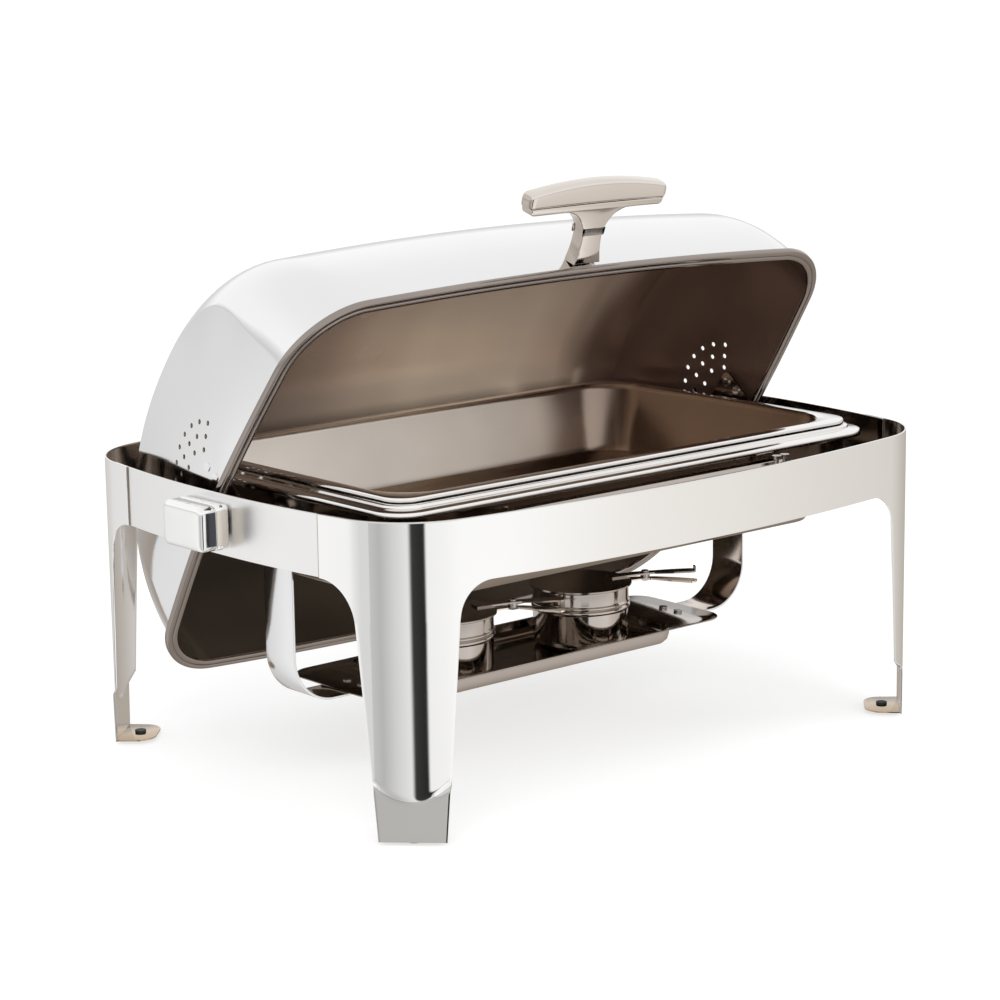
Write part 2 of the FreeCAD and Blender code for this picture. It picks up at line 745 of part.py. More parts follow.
nuts = []
screws = []
nut_corner = 0.5 * NUT_FLATS / math.cos(math.pi / 6)
for sign in (-1, 1):
    hexagon = Part.Face(Part.Wire([
        s.toShape() for s in rounded([
            (nut_corner * math.cos(math.radians(60 * k + 30)),
             nut_corner * math.sin(math.radians(60 * k + 30)), 0)
            for k in range(6)])]))
    for x0, length in ((332.6, 7.0), (259.2, 6.6)):
        nut = hexagon.extrude(V(0, 0, length))
        nut = nut.cut(Part.makeCylinder(dim("axle_radius") + 0.05, 20, V(0, 0, -1)))
        nut.Placement = Placement(V(x0, 0, 0), Rotation(V(0, 1, 0), 90))
        nuts.append(nut.copy())
    for y in (-BOX_SCREW_REACH, BOX_SCREW_REACH):
        inner = Part.makeCylinder(3.8, 1.6, V(324.6, y, 0), V(1, 0, 0))
        outer = Part.makeCylinder(3.4, 1.9, V(342.1, y, 0), V(1, 0, 0))
        shank = Part.makeCylinder(SCREW_SHANK, 18.4, V(325.0, y, 0), V(1, 0, 0))
        screws.append(shank.fuse([inner, outer]).removeSplitter())


def both_ends(solids):
    """Copy right-end solids to the hinge level and to the left end."""
    level = dim("pivot_height")
    out = []
    half = len(solids) // 2
    for k, solid in enumerate(solids):
        item = solid.copy()
        turn = Rotation() if k < half else Rotation(V(0, 0, 1), 180)
        item.Placement = Placement(V(0, 0, level), turn).multiply(item.Placement)
        out.append(item)
    return out


group_feature("hinge_nuts", both_ends(nuts))
group_feature("hinge_box_screws", both_ends(screws))

# ---------------------------------------------------------------- rolling cover


def cover_point(theta, x_raw, k, inset):
    """Point of the cover wall in its closed frame; inset is the sheet for the inner side."""
    length = dim("cover_length") + dim("cover_bulge")
    crown = 1.0 - dim("cover_crown") * (x_raw / 290.0) ** 2
    u = (dim("cover_depth") - inset) * math.cos(theta) * crown * k
    w = (dim("cover_height") - inset) * math.sin(theta) * crown * k
    if abs(w) < 1e-9:
        w = 0.0
    x = x_raw * (1.0 - dim("cover_taper") * w / length)
    return V(x, -u, w + dim("rim_offset"))


def cover_stations(inset):
    """Raw X and size factor along the cover, from the left hub to the right hub."""
    length = dim("cover_length") - inset
    r = dim("cover_round") - inset
    mean = 200.0
    last = math.radians(82.4)
    k_last = 1 - r * (1 - math.cos(last)) / mean
    half = []
    for x in (0.0, 50.0, 100.0, 150.0, 195.0, 225.0):
        half.append((x, 1.0))
    for step in range(0, 8):
        phi = last * step / 7
        half.append((length - r + r * math.sin(phi), 1 - r * (1 - math.cos(phi)) / mean))
    x_end = length - r + r * math.sin(last)
    for share in (0.93, 0.82, 0.66, 0.48, 0.32, 0.16, 0.0):
        half.append((x_end + dim("cover_bulge") * (1 - share ** 2), k_last * share))
    left = [(-x, k) for x, k in reversed(half)]
    return left + half[1:]


THETAS = [math.pi * i / 24 for i in range(25)]


def cover_face(inset):
    """One side of the cover wall as a smooth surface."""
    grid = []
    for theta in THETAS:
        row = [cover_point(theta, x, k, inset) for x, k in cover_stations(inset)]
        grid.append(row)
    surface = Part.BSplineSurface()
    surface.interpolate(grid)
    return surface.toShape()


def flat_edges(face):
    """The edges of a cover face that lie in the rim plane."""
    level = dim("rim_offset")
    edges = []
    for edge in face.Edges:
        box = edge.BoundBox
        if edge.Length > 10 and abs(box.ZMax - level) < 1e-3 and abs(box.ZMin - level) < 1e-3:
            edges.append(edge)
    return edges


def cover_solid(inset):
    """Solid under one side of the cover wall, closed by the rim plane."""
    face = cover_face(inset)
    wire = Part.Wire(Part.__sortEdges__(flat_edges(face)))
    lid = Part.Face(wire)
    shell = Part.makeShell([face, lid])
    shell.sewShape()
    solid = Part.makeSolid(Part.Shell(shell.Faces))
    if solid.Volume < 0:
        solid.reverse()
    return solid


def vent_centres():
    """Vent holes of one end wall: three arcs round one centre above the hinge."""
    centre = dim("rim_offset") + 30.0
    out = []
    for radius, count, step in ((49.0, 8, 17.2), (37.5, 6, 23.4), (26.0, 4, 37.5)):
        for k in range(count):
            angle = math.radians((k - (count - 1) / 2) * step)
            out.append((radius * math.sin(angle), centre + radius * math.cos(angle)))
    return out


PLATE_HOLES = [(-17.0, 32.0), (17.0, 32.0), (-15.0, 47.0), (15.0, 47.0)]

outer_cover = cover_solid(0.0)
inner_cover = cover_solid(dim("cover_sheet"))
cover_wall = outer_cover.cut(inner_cover)
drills = []
for y, z in vent_centres():
    drills.append(Part.makeCylinder(dim("vent_width") / 2, 800, V(-400, y, z), V(1, 0, 0)))
for y, z in PLATE_HOLES:
    drills.append(Part.makeCylinder(SCREW_HOLE, 800, V(-400, y, z), V(1, 0, 0)))
cover_wall = cover_wall.cut(drills)
# Two screw holes for the handle, along its stem.
stem_axis = V(0, -math.cos(math.radians(dim("handle_lean"))),
              math.sin(math.radians(dim("handle_lean"))))
base_angle = math.radians(5.2)
base_point = cover_point(base_angle, 0.0, 1.0, 0.0)
for x in (-8.0, 8.0):
    drill = Part.makeCylinder(SCREW_HOLE, 40, base_point + V(x, 0, 0) - stem_axis * 20, stem_axis)
    cover_wall = cover_wall.cut(drill)
if len(cover_wall.Solids) == 1:
    cover_wall = cover_wall.Solids[0]
cover_place(shape_feature("cover_shell", cover_wall))


def rim_points(offset):
    """Cover outline in the rim plane, moved outwards by offset."""
    line = []
    for theta in (0.0, math.pi):
        stations = cover_stations(0.0)
        if theta:
            stations = stations[::-1]
        for x, k in stations[:-1]:
            line.append(cover_point(theta, x, k, 0.0))
    count = len(line)
    out = []
    for i in range(count):
        tangent = (line[(i + 1) % count] - line[i - 1]).normalize()
        normal = V(tangent.y, -tangent.x, 0)
        if normal.dot(V(line[i].x, line[i].y, 0)) < 0:
            normal = normal * -1
        out.append(line[i] + normal * offset)
    return out


def rim_ring(outer, inner, z0, z1):
    """Flat ring that follows the cover outline."""
    faces = []
    for offset in (outer, inner):
        curve = Part.BSplineCurve()
        points = [V(p.x, p.y, z0) for p in rim_points(offset)]
        curve.interpolate(Points=points, PeriodicFlag=True)
        faces.append(Part.Face(Part.Wire([curve.toShape()])))
    block = faces[0].extrude(V(0, 0, z1 - z0))
    core = faces[1].extrude(V(0, 0, z1 - z0))
    return block.cut(core)


level = dim("rim_offset")
rim = rim_ring(dim("rim_width"), -dim("cover_sheet") - 1.0, level - dim("rim_thick"), level - 0.02)
lip = rim_ring(dim("rim_width"), dim("rim_width") - 1.6, level - 0.02, level + 3.0)
rim = rim.fuse(lip).removeSplitter()
if len(rim.Solids) == 1:
    rim = rim.Solids[0]
cover_place(shape_feature("cover_rim", rim))


def hinge_plate(label, sign):
    """Plate that hangs the cover on its axle, riveted inside the end wall."""
    body = new_body(label)
    outline = rounded([
        (-18.5, -18.5, 18), (18.5, -18.5, 18), (24, 55, 6), (-24, 55, 6)])
    start = 302.5 if sign > 0 else -305.0
    pad(body, "YZ_Plane", outline, start, 2.5)
    holes = circle_outline(dim("axle_radius") + AXLE_PLAY)
    for y, z in PLATE_HOLES:
        holes += circle_outline(SCREW_HOLE, y, z)
    pocket(body, "YZ_Plane", holes, start - 5, 15)
    cover_place(body)
    return body


hinge_plate("left_cover_hinge_plate", -1)
hinge_plate("right_cover_hinge_plate", 1)

rivets = []
for sign in (-1, 1):
    for y, z in PLATE_HOLES:
        axis = V(sign, 0, 0)
        # The end wall leans in, so the outer head sits where the wall is.
        w = z - dim("rim_offset")
        away = (w / dim("cover_height")) ** 2 + (y / dim("cover_depth")) ** 2
        wall = (dim("cover_length") + dim("cover_bulge") - dim("cover_taper") * w
                - dim("cover_bulge") * away / 0.55)
        shank = Part.makeCylinder(SCREW_SHANK, wall + 1.5 - 301.0, V(sign * 301.0, y, z), axis)
        head = Part.makeCylinder(4.0, 1.5, V(sign * 300.95, y, z), axis)
        tail = Part.makeCylinder(4.0, 1.4, V(sign * (wall + 0.45), y, z), axis)
        rivets.append(shank.fuse([head, tail]).removeSplitter())
cover_place(group_feature("cover_hinge_rivets", rivets))

# Handle: a T with a long arched bar and a flared stem, drawn flat and padded.
handle = new_body("cover_handle")
rise = dim("handle_rise")
span = dim("handle_span") / 2
low_edge = rise - 16
half_outline = [
    (15, 0, 0), (11, 24, 60), (14, low_edge + 4.5, 20), (span, low_edge, 7),
    (span, low_edge + 16, 7)]
outline = rounded(
    half_outline + [(0, rise + 11, 250)] + [(-x, z, r) for x, z, r in reversed(half_outline)])
pad(handle, "XZ_Plane", outline, -8, 16)
fillet_edges(handle, 3.0, lambda e: e.BoundBox.YLength < 0.01 and e.BoundBox.ZMax > 0.01)
lean = dim("handle_lean")
base_gap = 1.6
local = Placement(base_point + stem_axis * base_gap, Rotation(V(1, 0, 0), 90 - lean))
pocket(handle, "XY_Plane", circle_outline(2.05, -8, 0) + circle_outline(2.05, 8, 0), -1, 19)
handle.Placement = Placement(
    V(0, 0, dim("pivot_height")),
    Rotation(V(1, 0, 0), -dim("open_angle"))).multiply(local)

# Screws that hold the handle from inside the cover.
handle_screws = []
for x in (-8.0, 8.0):
    shank = Part.makeCylinder(SCREW_SHANK, 24, V(x, 0, -8))
    head = Part.makeCylinder(4.5, 2.4, V(x, 0, -9.0))
    screw = shank.fuse(head).removeSplitter()
    screw.Placement = local
    handle_screws.append(screw)
cover_place(group_feature("cover_handle_screws", handle_screws))

# ---------------------------------------------------------------- pans

shift = dim("pan_shift")
pan_sheet = dim("pan_sheet")

water = new_body("water_pan")
wl = dim("water_length")
wd = dim("water_depth")
wz = dim("water_rim_top")
bottom = dim("water_bottom")
loft(water, drawn_sections((246, 146, 36, bottom), (258, 158, 42, wz - 1), 0, 16))
pad(water, "XY_Plane", box_outline(wl, wd, 30, 0, shift), wz - 1.5, 1.5,
    "Dims.water_rim_top - 1.5")
pad(water, "XY_Plane", box_outline(268, 166, 24, 0, shift), wz, 3.5, "Dims.water_rim_top")
skirt = box_outline(wl, wd, 30, 0, shift) + box_outline(wl - 1.3, wd - 1.3, 28.7, 0, shift)
pad(water, "XY_Plane", skirt, wz - 6.0, 4.5, "Dims.water_rim_top - 6")
loft(water, drawn_sections(
    (246, 146, 36, bottom + pan_sheet), (258, 158, 41, wz + 3.5), pan_sheet, 15), cuts=True)

food = new_body("food_pan")
fl = dim("food_length")
fd = dim("food_depth")
fz = dim("food_rim_top")
food_low = fz - dim("food_well") - pan_sheet
loft(food, drawn_sections((238, 136, 38, food_low), (253, 150.5, 44, fz - 0.6), 0, 12))
pad(food, "XY_Plane", box_outline(fl, fd, 22, 0, shift), fz - pan_sheet, pan_sheet,
    "Dims.food_rim_top - Dims.pan_sheet", "Dims.pan_sheet")
skirt = box_outline(fl, fd, 22, 0, shift) + box_outline(fl - 1.2, fd - 1.2, 20.8, 0, shift)
pad(food, "XY_Plane", skirt, fz - 5.2, 4.0, "Dims.food_rim_top - 5.2")
loft(food, drawn_sections(
    (238, 136, 38, food_low + pan_sheet), (253, 150.5, 43, fz), pan_sheet, 11), cuts=True)

# ---------------------------------------------------------------- fuel strap and tray


def strap(label, sign):
    """Flat strap from the cradle down and under the tray."""
    body = new_body(label)
    thick = dim("cradle_sheet")
    x_out = dim("cradle_length") - thick - 0.05
    low = dim("strap_bottom")
    r = dim("strap_round")
    top = 256.0
    end = 165.0
    outline = rounded([
        (sign * x_out, top, 0), (sign * x_out, low, r), (sign * end, low, 0),
        (sign * end, low + thick, 0), (sign * (x_out - thick), low + thick, r - thick),
        (sign * (x_out - thick), top, 0)])
    y0 = 8.0 + dim("strap_width") / 2
    pad(body, "XZ_Plane", outline, y0 - dim("strap_width"), dim("strap_width"),
        length_expr="Dims.strap_width")
    start = 200 if sign > 0 else -300
    pocket(body, "YZ_Plane",
           circle_outline(dim("axle_radius") + AXLE_PLAY, 0, dim("pivot_height")), start, 100)
    for y in STRAP_RIVET_YS:
        pocket(body, "XY_Plane", circle_outline(SCREW_HOLE, sign * STRAP_RIVET_X, y), low - 2, 8)
    return body


strap("left_fuel_strap", -1)
strap("right_fuel_strap", 1)

tray = new_body("fuel_tray")
plate_z = dim("strap_bottom") + dim("cradle_sheet") + 0.02
ts = dim("tray_sheet")
drop = dim("trough_drop")
pad(tray, "XY_Plane", box_outline(dim("tray_half"), dim("tray_depth"), 22), plate_z, ts,
    length_expr="Dims.tray_sheet")
th = dim("trough_half")
td = dim("trough_depth")
loft(tray, [(box_outline(th - 3, td - 3, 18), plate_z - drop), (box_outline(th, td, 20), plate_z)])
pocket(tray, "XY_Plane", box_outline(th - 4.5, td - 4.5, 16.5), plate_z - drop + ts, drop + 1)
for sign in (-1, 1):
    for y in STRAP_RIVET_YS:
        hole = circle_outline(SCREW_HOLE, sign * STRAP_RIVET_X, y)
        pocket(tray, "XY_Plane", hole, plate_z - 2, 8)

tray_rivets = []
for sign in (-1, 1):
    for y in STRAP_RIVET_YS:
        x = sign * STRAP_RIVET_X
        low = dim("strap_bottom")
        shank = Part.makeCylinder(SCREW_SHANK, 5.6, V(x, y, low - 1.0))
        under = Part.makeCylinder(4.0, 1.4, V(x, y, low - 1.45))
        over = Part.makeCylinder(4.0, 1.4, V(x, y, plate_z + ts + 0.05))
        tray_rivets.append(shank.fuse([under, over]).removeSplitter())
group_feature("tray_rivets", tray_rivets)

# ---------------------------------------------------------------- fuel holders

CUP_FLOOR = plate_z - drop + ts + 0.1


def holder_place(item, sign):
    """A holder piece is drawn round its cup axis with the handle along +X."""
    item.Placement = Placement(
        V(sign * dim("cup_spacing"), 0, CUP_FLOOR),
        Rotation(V(0, 0, 1), dim("arm_turn")))
    item.setExpression(".Placement.Base.x", "%d * Dims.cup_spacing" % sign)


def fuel_cup(label, sign):
    """Round cup with a pressed bead below its mouth."""
    body = new_body(label)
    r = dim("cup_radius")
    t = dim("cup_sheet")
    tall = dim("cup_height")
    bead = 0.68 * tall
    revolve(body, "XZ_Plane", "Z_Axis", [
        (0, 0, 0), (r - 1.5, 0, 7), (r - 1.5, bead - 2.4, 1.5), (r, bead - 0.8, 1.0),
        (r, bead + 0.8, 1.0), (r - 1.5, bead + 2.4, 1.5), (r - 1.5, tall, 0),
        (r - 1.5 - t, tall, 0), (r - 1.5 - t, t, 5.8), (0, t, 0)])
    holder_place(body, sign)
    return body


def grip_outline(start_x, pivot_x, angle, length, wide, narrow):
    """Flat arm: straight to the rivet, then turned aside and widened to a rounded grip."""
    turn = math.radians(angle)
    c = math.cos(turn)
    s = math.sin(turn)

    def bent(along, across):
        return pivot_x + along * c - across * s, along * s + across * c

    corners = [(start_x, -wide / 2, 0.5)]
    corners.append((pivot_x - 8, -narrow / 2 - 1, 6))
    for along, across, r in (
            (8, -narrow / 2, 6), (length - 22, -wide / 2, 8), (length, -wide / 2, 5),
            (length, wide / 2, 5), (length - 22, wide / 2, 8), (8, narrow / 2, 6)):
        x, y = bent(along, across)
        corners.append((x, y, r))
    corners.append((pivot_x - 8, narrow / 2 + 1, 6))
    corners.append((start_x, wide / 2, 0.5))
    return rounded(corners)


def fixed_handle(label, sign):
    """Handle welded to the cup wall under its mouth."""
    body = new_body(label)
    tall = dim("cup_height")
    reach = dim("arm_reach")
    shapes = grip_outline(dim("cup_radius") - 1.4, reach, -45, 50, 13, 9)
    pad(body, "XY_Plane", shapes, tall - 3.0, 1.5)
    tongue = rounded([
        (dim("cup_radius") - 1.2, tall - 15, 0), (dim("cup_radius") + 0.4, tall - 15, 0),
        (dim("cup_radius") + 0.4, tall - 1.5, 0), (dim("cup_radius") - 1.2, tall - 1.5, 0)])
    pad(body, "XZ_Plane", tongue, -5, 10)
    pocket(body, "XY_Plane", circle_outline(2.15, reach, 0), tall - 5, 8)
    # The tongue follows the round cup wall.
    pocket(body, "XY_Plane", circle_outline(dim("cup_radius") - 1.25), tall - 20, 40)
    holder_place(body, sign)
    return body


def swing_lid(label, sign):
    """Lid disc with its own arm, riveted over the fixed handle."""
    body = new_body(label)
    tall = dim("cup_height")
    reach = dim("arm_reach")
    pad(body, "XY_Plane", circle_outline(dim("cup_radius") + 1.5), tall + 0.5, 1.4)
    pad(body, "XY_Plane", grip_outline(30, reach, -18, 48, 13, 9), tall + 1.8, 1.5)
    # Upturned end of the grip.
    turn = math.radians(-18)
    inner = rounded([(reach + a * math.cos(turn) - b * math.sin(turn),
                      a * math.sin(turn) + b * math.cos(turn), 0)
                     for a, b in ((46.5, -3.5), (48.0, -3.5), (48.0, 3.5), (46.5, 3.5))])
    pad(body, "XY_Plane", inner, tall + 3.0, 4.0)
    pocket(body, "XY_Plane", circle_outline(2.15, reach, 0), tall, 8)
    holder_place(body, sign)
    return body


def lid_rivet(label, sign):
    """Rivet and its spacer between the fixed handle and the lid arm."""
    body = new_body(label)
    tall = dim("cup_height")
    reach = dim("arm_reach")
    sketch_axis = [
        (0, tall - 4.6, 0), (3.6, tall - 4.6, 0.6), (3.6, tall - 3.1, 0), (2.0, tall - 3.1, 0),
        (2.0, tall - 1.45, 0), (4.4, tall - 1.45, 0), (4.4, tall + 1.6, 0),
        (2.0, tall + 1.6, 0), (2.0, tall + 3.5, 0), (3.6, tall + 3.5, 0),
        (3.6, tall + 5.0, 0.7), (0, tall + 5.0, 0)]
    revolve(body, "XZ_Plane", "Z_Axis", sketch_axis)
    turn = math.radians(dim("arm_turn"))
    body.Placement = Placement(
        V(sign * dim("cup_spacing") + reach * math.cos(turn), reach * math.sin(turn), CUP_FLOOR),
        Rotation())
    return body


for side_name, sign in (("left", -1), ("right", 1)):
    fuel_cup(side_name + "_fuel_cup", sign)
    fixed_handle(side_name + "_cup_handle", sign)
    swing_lid(side_name + "_fuel_lid", sign)
    lid_rivet(side_name + "_lid_rivet", sign)

# ---------------------------------------------------------------- checks and export

doc.recompute()
for item in doc.Objects:
    for flag in ("Invalid", "Error"):
        if flag in item.State:
            raise RuntimeError("%s is %s" % (item.Label, flag))
for piece in PIECES:
    shape = piece.Shape
    if shape.isNull() or not shape.isValid() or shape.Volume <= 0:
        raise RuntimeError("%s has no valid shape" % piece.Label)

os.makedirs("parts", exist_ok=True)
for piece in PIECES:
    piece.Shape.exportStep("parts/%s.step" % piece.Label)
    print(piece.Label, len(piece.Shape.Solids), round(piece.Shape.Volume, 1))
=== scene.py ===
"""Looks of the roll-top chafing dish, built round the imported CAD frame.

X runs along the long side, -Y is the serving side, Z is up, and the unit is the metre.
Drawing sizes are written in millimetres and turned to metres by MM.
"""
import json
import math
from contextlib import contextmanager

import bmesh
import bpy
from mathutils import Matrix, Vector


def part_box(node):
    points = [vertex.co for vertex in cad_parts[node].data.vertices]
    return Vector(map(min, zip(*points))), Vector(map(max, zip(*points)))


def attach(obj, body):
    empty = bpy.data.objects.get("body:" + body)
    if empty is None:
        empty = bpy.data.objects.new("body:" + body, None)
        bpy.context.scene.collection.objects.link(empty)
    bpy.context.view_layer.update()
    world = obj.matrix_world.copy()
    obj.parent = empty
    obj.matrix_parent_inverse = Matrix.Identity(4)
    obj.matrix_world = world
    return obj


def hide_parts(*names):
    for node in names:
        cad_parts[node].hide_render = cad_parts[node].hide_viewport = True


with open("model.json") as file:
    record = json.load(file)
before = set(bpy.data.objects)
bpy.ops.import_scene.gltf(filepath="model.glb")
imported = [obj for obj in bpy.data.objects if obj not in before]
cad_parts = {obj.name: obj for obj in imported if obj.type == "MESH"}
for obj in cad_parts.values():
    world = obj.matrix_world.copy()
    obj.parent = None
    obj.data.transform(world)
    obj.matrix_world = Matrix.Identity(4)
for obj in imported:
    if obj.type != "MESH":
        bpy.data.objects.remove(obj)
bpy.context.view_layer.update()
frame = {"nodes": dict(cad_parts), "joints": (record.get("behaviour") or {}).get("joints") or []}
NODES = frame["nodes"]
MM = 0.001

# ---------------------------------------------------------------- places taken from the frame

HINGE = Vector(next(j["pos_m"] for j in frame["joints"] if j["name"] == "cover_hinge"))
HINGE_LEVEL = HINGE.z / MM
OPEN_ANGLE = math.radians(55.0)
COVER_TURN = Matrix.Translation(HINGE) @ Matrix.Rotation(-OPEN_ANGLE, 4, "X")
BAND_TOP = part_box("front_leg_panel")[1].z / MM
BAND_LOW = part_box("left_end_band")[0].z / MM
FOOD_LOW, FOOD_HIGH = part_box("food_pan")
PAN_Y = (FOOD_LOW.y + FOOD_HIGH.y) / 2
TRAY_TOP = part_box("fuel_tray")[1].z / MM
CUP_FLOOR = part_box("left_fuel_cup")[0].z / MM

# ---------------------------------------------------------------- shader nodes


def maths(tree, operation, first, second=0.0):
    """One maths node over sockets or numbers."""
    node = tree.nodes.new("ShaderNodeMath")
    node.operation = operation
    for socket, value in zip(node.inputs, (first, second)):
        if isinstance(value, (int, float)):
            socket.default_value = value
        else:
            tree.links.new(value, socket)
    return node.outputs["Value"]


def ramp(tree, value, stops):
    """Colour ramp from (place, tone) stops; a tone is a grey or a colour."""
    node = tree.nodes.new("ShaderNodeValToRGB")
    elements = node.color_ramp.elements
    while len(elements) < len(stops):
        elements.new(0.5)
    for element, (where, tone) in zip(elements, stops):
        colour = tone if isinstance(tone, tuple) else (tone, tone, tone)
        element.position = where
        element.color = (*colour, 1.0)
    tree.links.new(value, node.inputs["Fac"])
    return node.outputs["Color"]


def map_range(tree, value, low, high, out_low=0.0, out_high=1.0, kind="LINEAR"):
    """Map a value from one range to another."""
    node = tree.nodes.new("ShaderNodeMapRange")
    node.interpolation_type = kind
    node.inputs["From Min"].default_value = low
    node.inputs["From Max"].default_value = high
    node.inputs["To Min"].default_value = out_low
    node.inputs["To Max"].default_value = out_high
    tree.links.new(value, node.inputs["Value"])
    return node.outputs["Result"]


def mix_colours(tree, share, first, second):
    """Blend two colours by a share; each is a socket or a plain colour."""
    node = tree.nodes.new("ShaderNodeMix")
    node.data_type = "RGBA"
    tree.links.new(share, node.inputs["Factor"])
    colour_inputs = [socket for socket in node.inputs if socket.type == "RGBA"]
    for socket, value in zip(colour_inputs, (first, second)):
        if isinstance(value, tuple):
            socket.default_value = (*value, 1.0)
        else:
            tree.links.new(value, socket)
    return next(socket for socket in node.outputs if socket.type == "RGBA")


def coordinates(tree, kind):
    """The three coordinates of a texture space as sockets."""
    place = tree.nodes.new("ShaderNodeTexCoord")
    split = tree.nodes.new("ShaderNodeSeparateXYZ")
    tree.links.new(place.outputs[kind], split.inputs["Vector"])
    return split.outputs["X"], split.outputs["Y"], split.outputs["Z"]


class Nodes:
    """A material's shader nodes, with short ways to set its tone, gloss and relief."""

    def __init__(self, name):
        self.material = bpy.data.materials.new(name)
        self.material.use_nodes = True
        self.tree = self.material.node_tree
        self.shader = self.tree.nodes["Principled BSDF"]
        self.place = self.tree.nodes.new("ShaderNodeTexCoord").outputs["Object"]

    def link(self, out, into):
        self.tree.links.new(out, into)

    def noise(self, scale, detail=3.0, stretch=(1.0, 1.0, 1.0), rough=0.5):
        """Noise in object space, with the grain stretched along an axis."""
        mapping = self.tree.nodes.new("ShaderNodeMapping")
        mapping.inputs["Scale"].default_value = stretch
        self.link(self.place, mapping.inputs["Vector"])
        node = self.tree.nodes.new("ShaderNodeTexNoise")
        node.inputs["Scale"].default_value = scale
        node.inputs["Detail"].default_value = detail
        node.inputs["Roughness"].default_value = rough
        self.link(mapping.outputs["Vector"], node.inputs["Vector"])
        return node.outputs["Fac"]

    def tone(self, value, stops):
        """Base colour along a value, from (place, colour) stops."""
        self.link(ramp(self.tree, value, stops), self.shader.inputs["Base Color"])

    def gloss(self, value, low, high, smooth_and_rough):
        """Roughness that follows a value between two limits."""
        rough = map_range(self.tree, value, low, high, *smooth_and_rough)
        self.link(rough, self.shader.inputs["Roughness"])

    def bump(self, height, distance):
        """Fine relief in the surface, as deep as the distance in metres."""
        node = self.tree.nodes.new("ShaderNodeBump")
        node.inputs["Distance"].default_value = distance
        self.link(height, node.inputs["Height"])
        self.link(node.outputs["Normal"], self.shader.inputs["Normal"])


# ---------------------------------------------------------------- kinds of material

STEEL_CLOUD = 4.0
STEEL_SMUDGE = 14.0
STEEL_WAVE = 6.0
STEEL_WAVE_DEPTH = 0.00002
SATIN_STREAK = 5.0
SATIN_STRETCH = (1.0, 0.25, 0.25)
SATIN_SHIFT = 0.09
SATIN_CLOUD = 9.0
SATIN_GRAIN = 500.0
SATIN_GRAIN_DEPTH = 0.00001
LONGWAYS = (0.03, 1.0, 1.0)
MATTE_SPECK = 60.0
MATTE_SCUFF = 90.0
MATTE_GRAIN_DEPTH = 0.00006


def steel(name, light, dark, gloss, metal=1.0):
    """Stainless steel with a cloud in its tone, smudges in its gloss and a slightly wavy sheet."""
    n = Nodes(name)
    n.tone(n.noise(STEEL_CLOUD, detail=2.0), [(0.30, dark), (0.70, light)])
    n.shader.inputs["Metallic"].default_value = metal
    n.gloss(n.noise(STEEL_SMUDGE, rough=0.55), 0.25, 0.80, gloss)
    n.bump(n.noise(STEEL_WAVE, detail=0.0), STEEL_WAVE_DEPTH)
    return n.material


def satin(name, tones, gloss, half_length, metal=1.0):
    """Satin sheet with painted reflection tones that change softly along its length, bent by noise
    streaks.
    """
    n = Nodes(name)
    along = map_range(n.tree, coordinates(n.tree, "Object")[0], -half_length, half_length)
    streak = n.noise(SATIN_STREAK, detail=2.0, stretch=SATIN_STRETCH)
    shift = map_range(n.tree, streak, 0.3, 0.7, -SATIN_SHIFT, SATIN_SHIFT)
    n.tone(maths(n.tree, "ADD", along, shift), tones)
    n.shader.inputs["Metallic"].default_value = metal
    n.gloss(n.noise(SATIN_CLOUD, detail=2.0), 0.3, 0.7, gloss)
    n.bump(n.noise(SATIN_GRAIN, detail=2.0, stretch=LONGWAYS), SATIN_GRAIN_DEPTH)
    return n.material


def plastic(name, light, dark, gloss, grain_scale):
    """Matte rubber or nylon with a fine moulded grain."""
    n = Nodes(name)
    n.tone(n.noise(MATTE_SPECK, detail=4.0), [(0.35, dark), (0.65, light)])
    n.gloss(n.noise(MATTE_SCUFF), 0.3, 0.7, gloss)
    n.bump(n.noise(grain_scale, detail=2.0), MATTE_GRAIN_DEPTH)
    return n.material


def tint(material, share, colour):
    """Mix a colour over a material's tone by a share."""
    tree = material.node_tree
    base = tree.nodes["Principled BSDF"].inputs["Base Color"]
    tree.links.new(mix_colours(tree, share, base.links[0].from_socket, colour), base)


def low_part_tone(material, full_z, clear_z, colour, most):
    """Change a sheet's tone by most below full_z, fading out up to clear_z."""
    tree = material.node_tree
    height = coordinates(tree, "Object")[2]
    tint(material, map_range(tree, height, full_z, clear_z, most, 0.0), colour)


# ---------------------------------------------------------------- materials of the dish

COVER_SHADE_LOW = 0.14
COVER_SHADE_HIGH = 0.27
LEG_TONE_LOW = 0.195
LEG_TONE_HIGH = 0.212
# Brown steel for the inner faces of the frame and the parts inside it: a painted dark reflection.
INNER_PAINTED_REFLECTION = ((0.34, 0.285, 0.24), (0.25, 0.205, 0.17), (0.08, 0.16))

# Each has its light tone, its dark tone, and its roughness from the clean to the smudged parts.
PANEL = steel("panel_steel", (0.93, 0.925, 0.915), (0.90, 0.895, 0.88), (0.035, 0.085))
# Inside of the leg panels: painted dark reflection, which turns to a light steel tone below
# LEG_TONE_LOW, under the band.
PANEL_IN = steel("panel_inside", *INNER_PAINTED_REFLECTION)
low_part_tone(PANEL_IN, LEG_TONE_LOW, LEG_TONE_HIGH, (0.82, 0.80, 0.80), most=1.0)
# Painted dark reflection for the end bands' inner faces, the pans' outsides, the pan cradles and
# the hinge plates.
DARK_SIDE = steel("inner_side_steel", *INNER_PAINTED_REFLECTION)
COVER_OUT = steel("cover_polish", (0.875, 0.875, 0.88), (0.835, 0.835, 0.84), (0.06, 0.12))
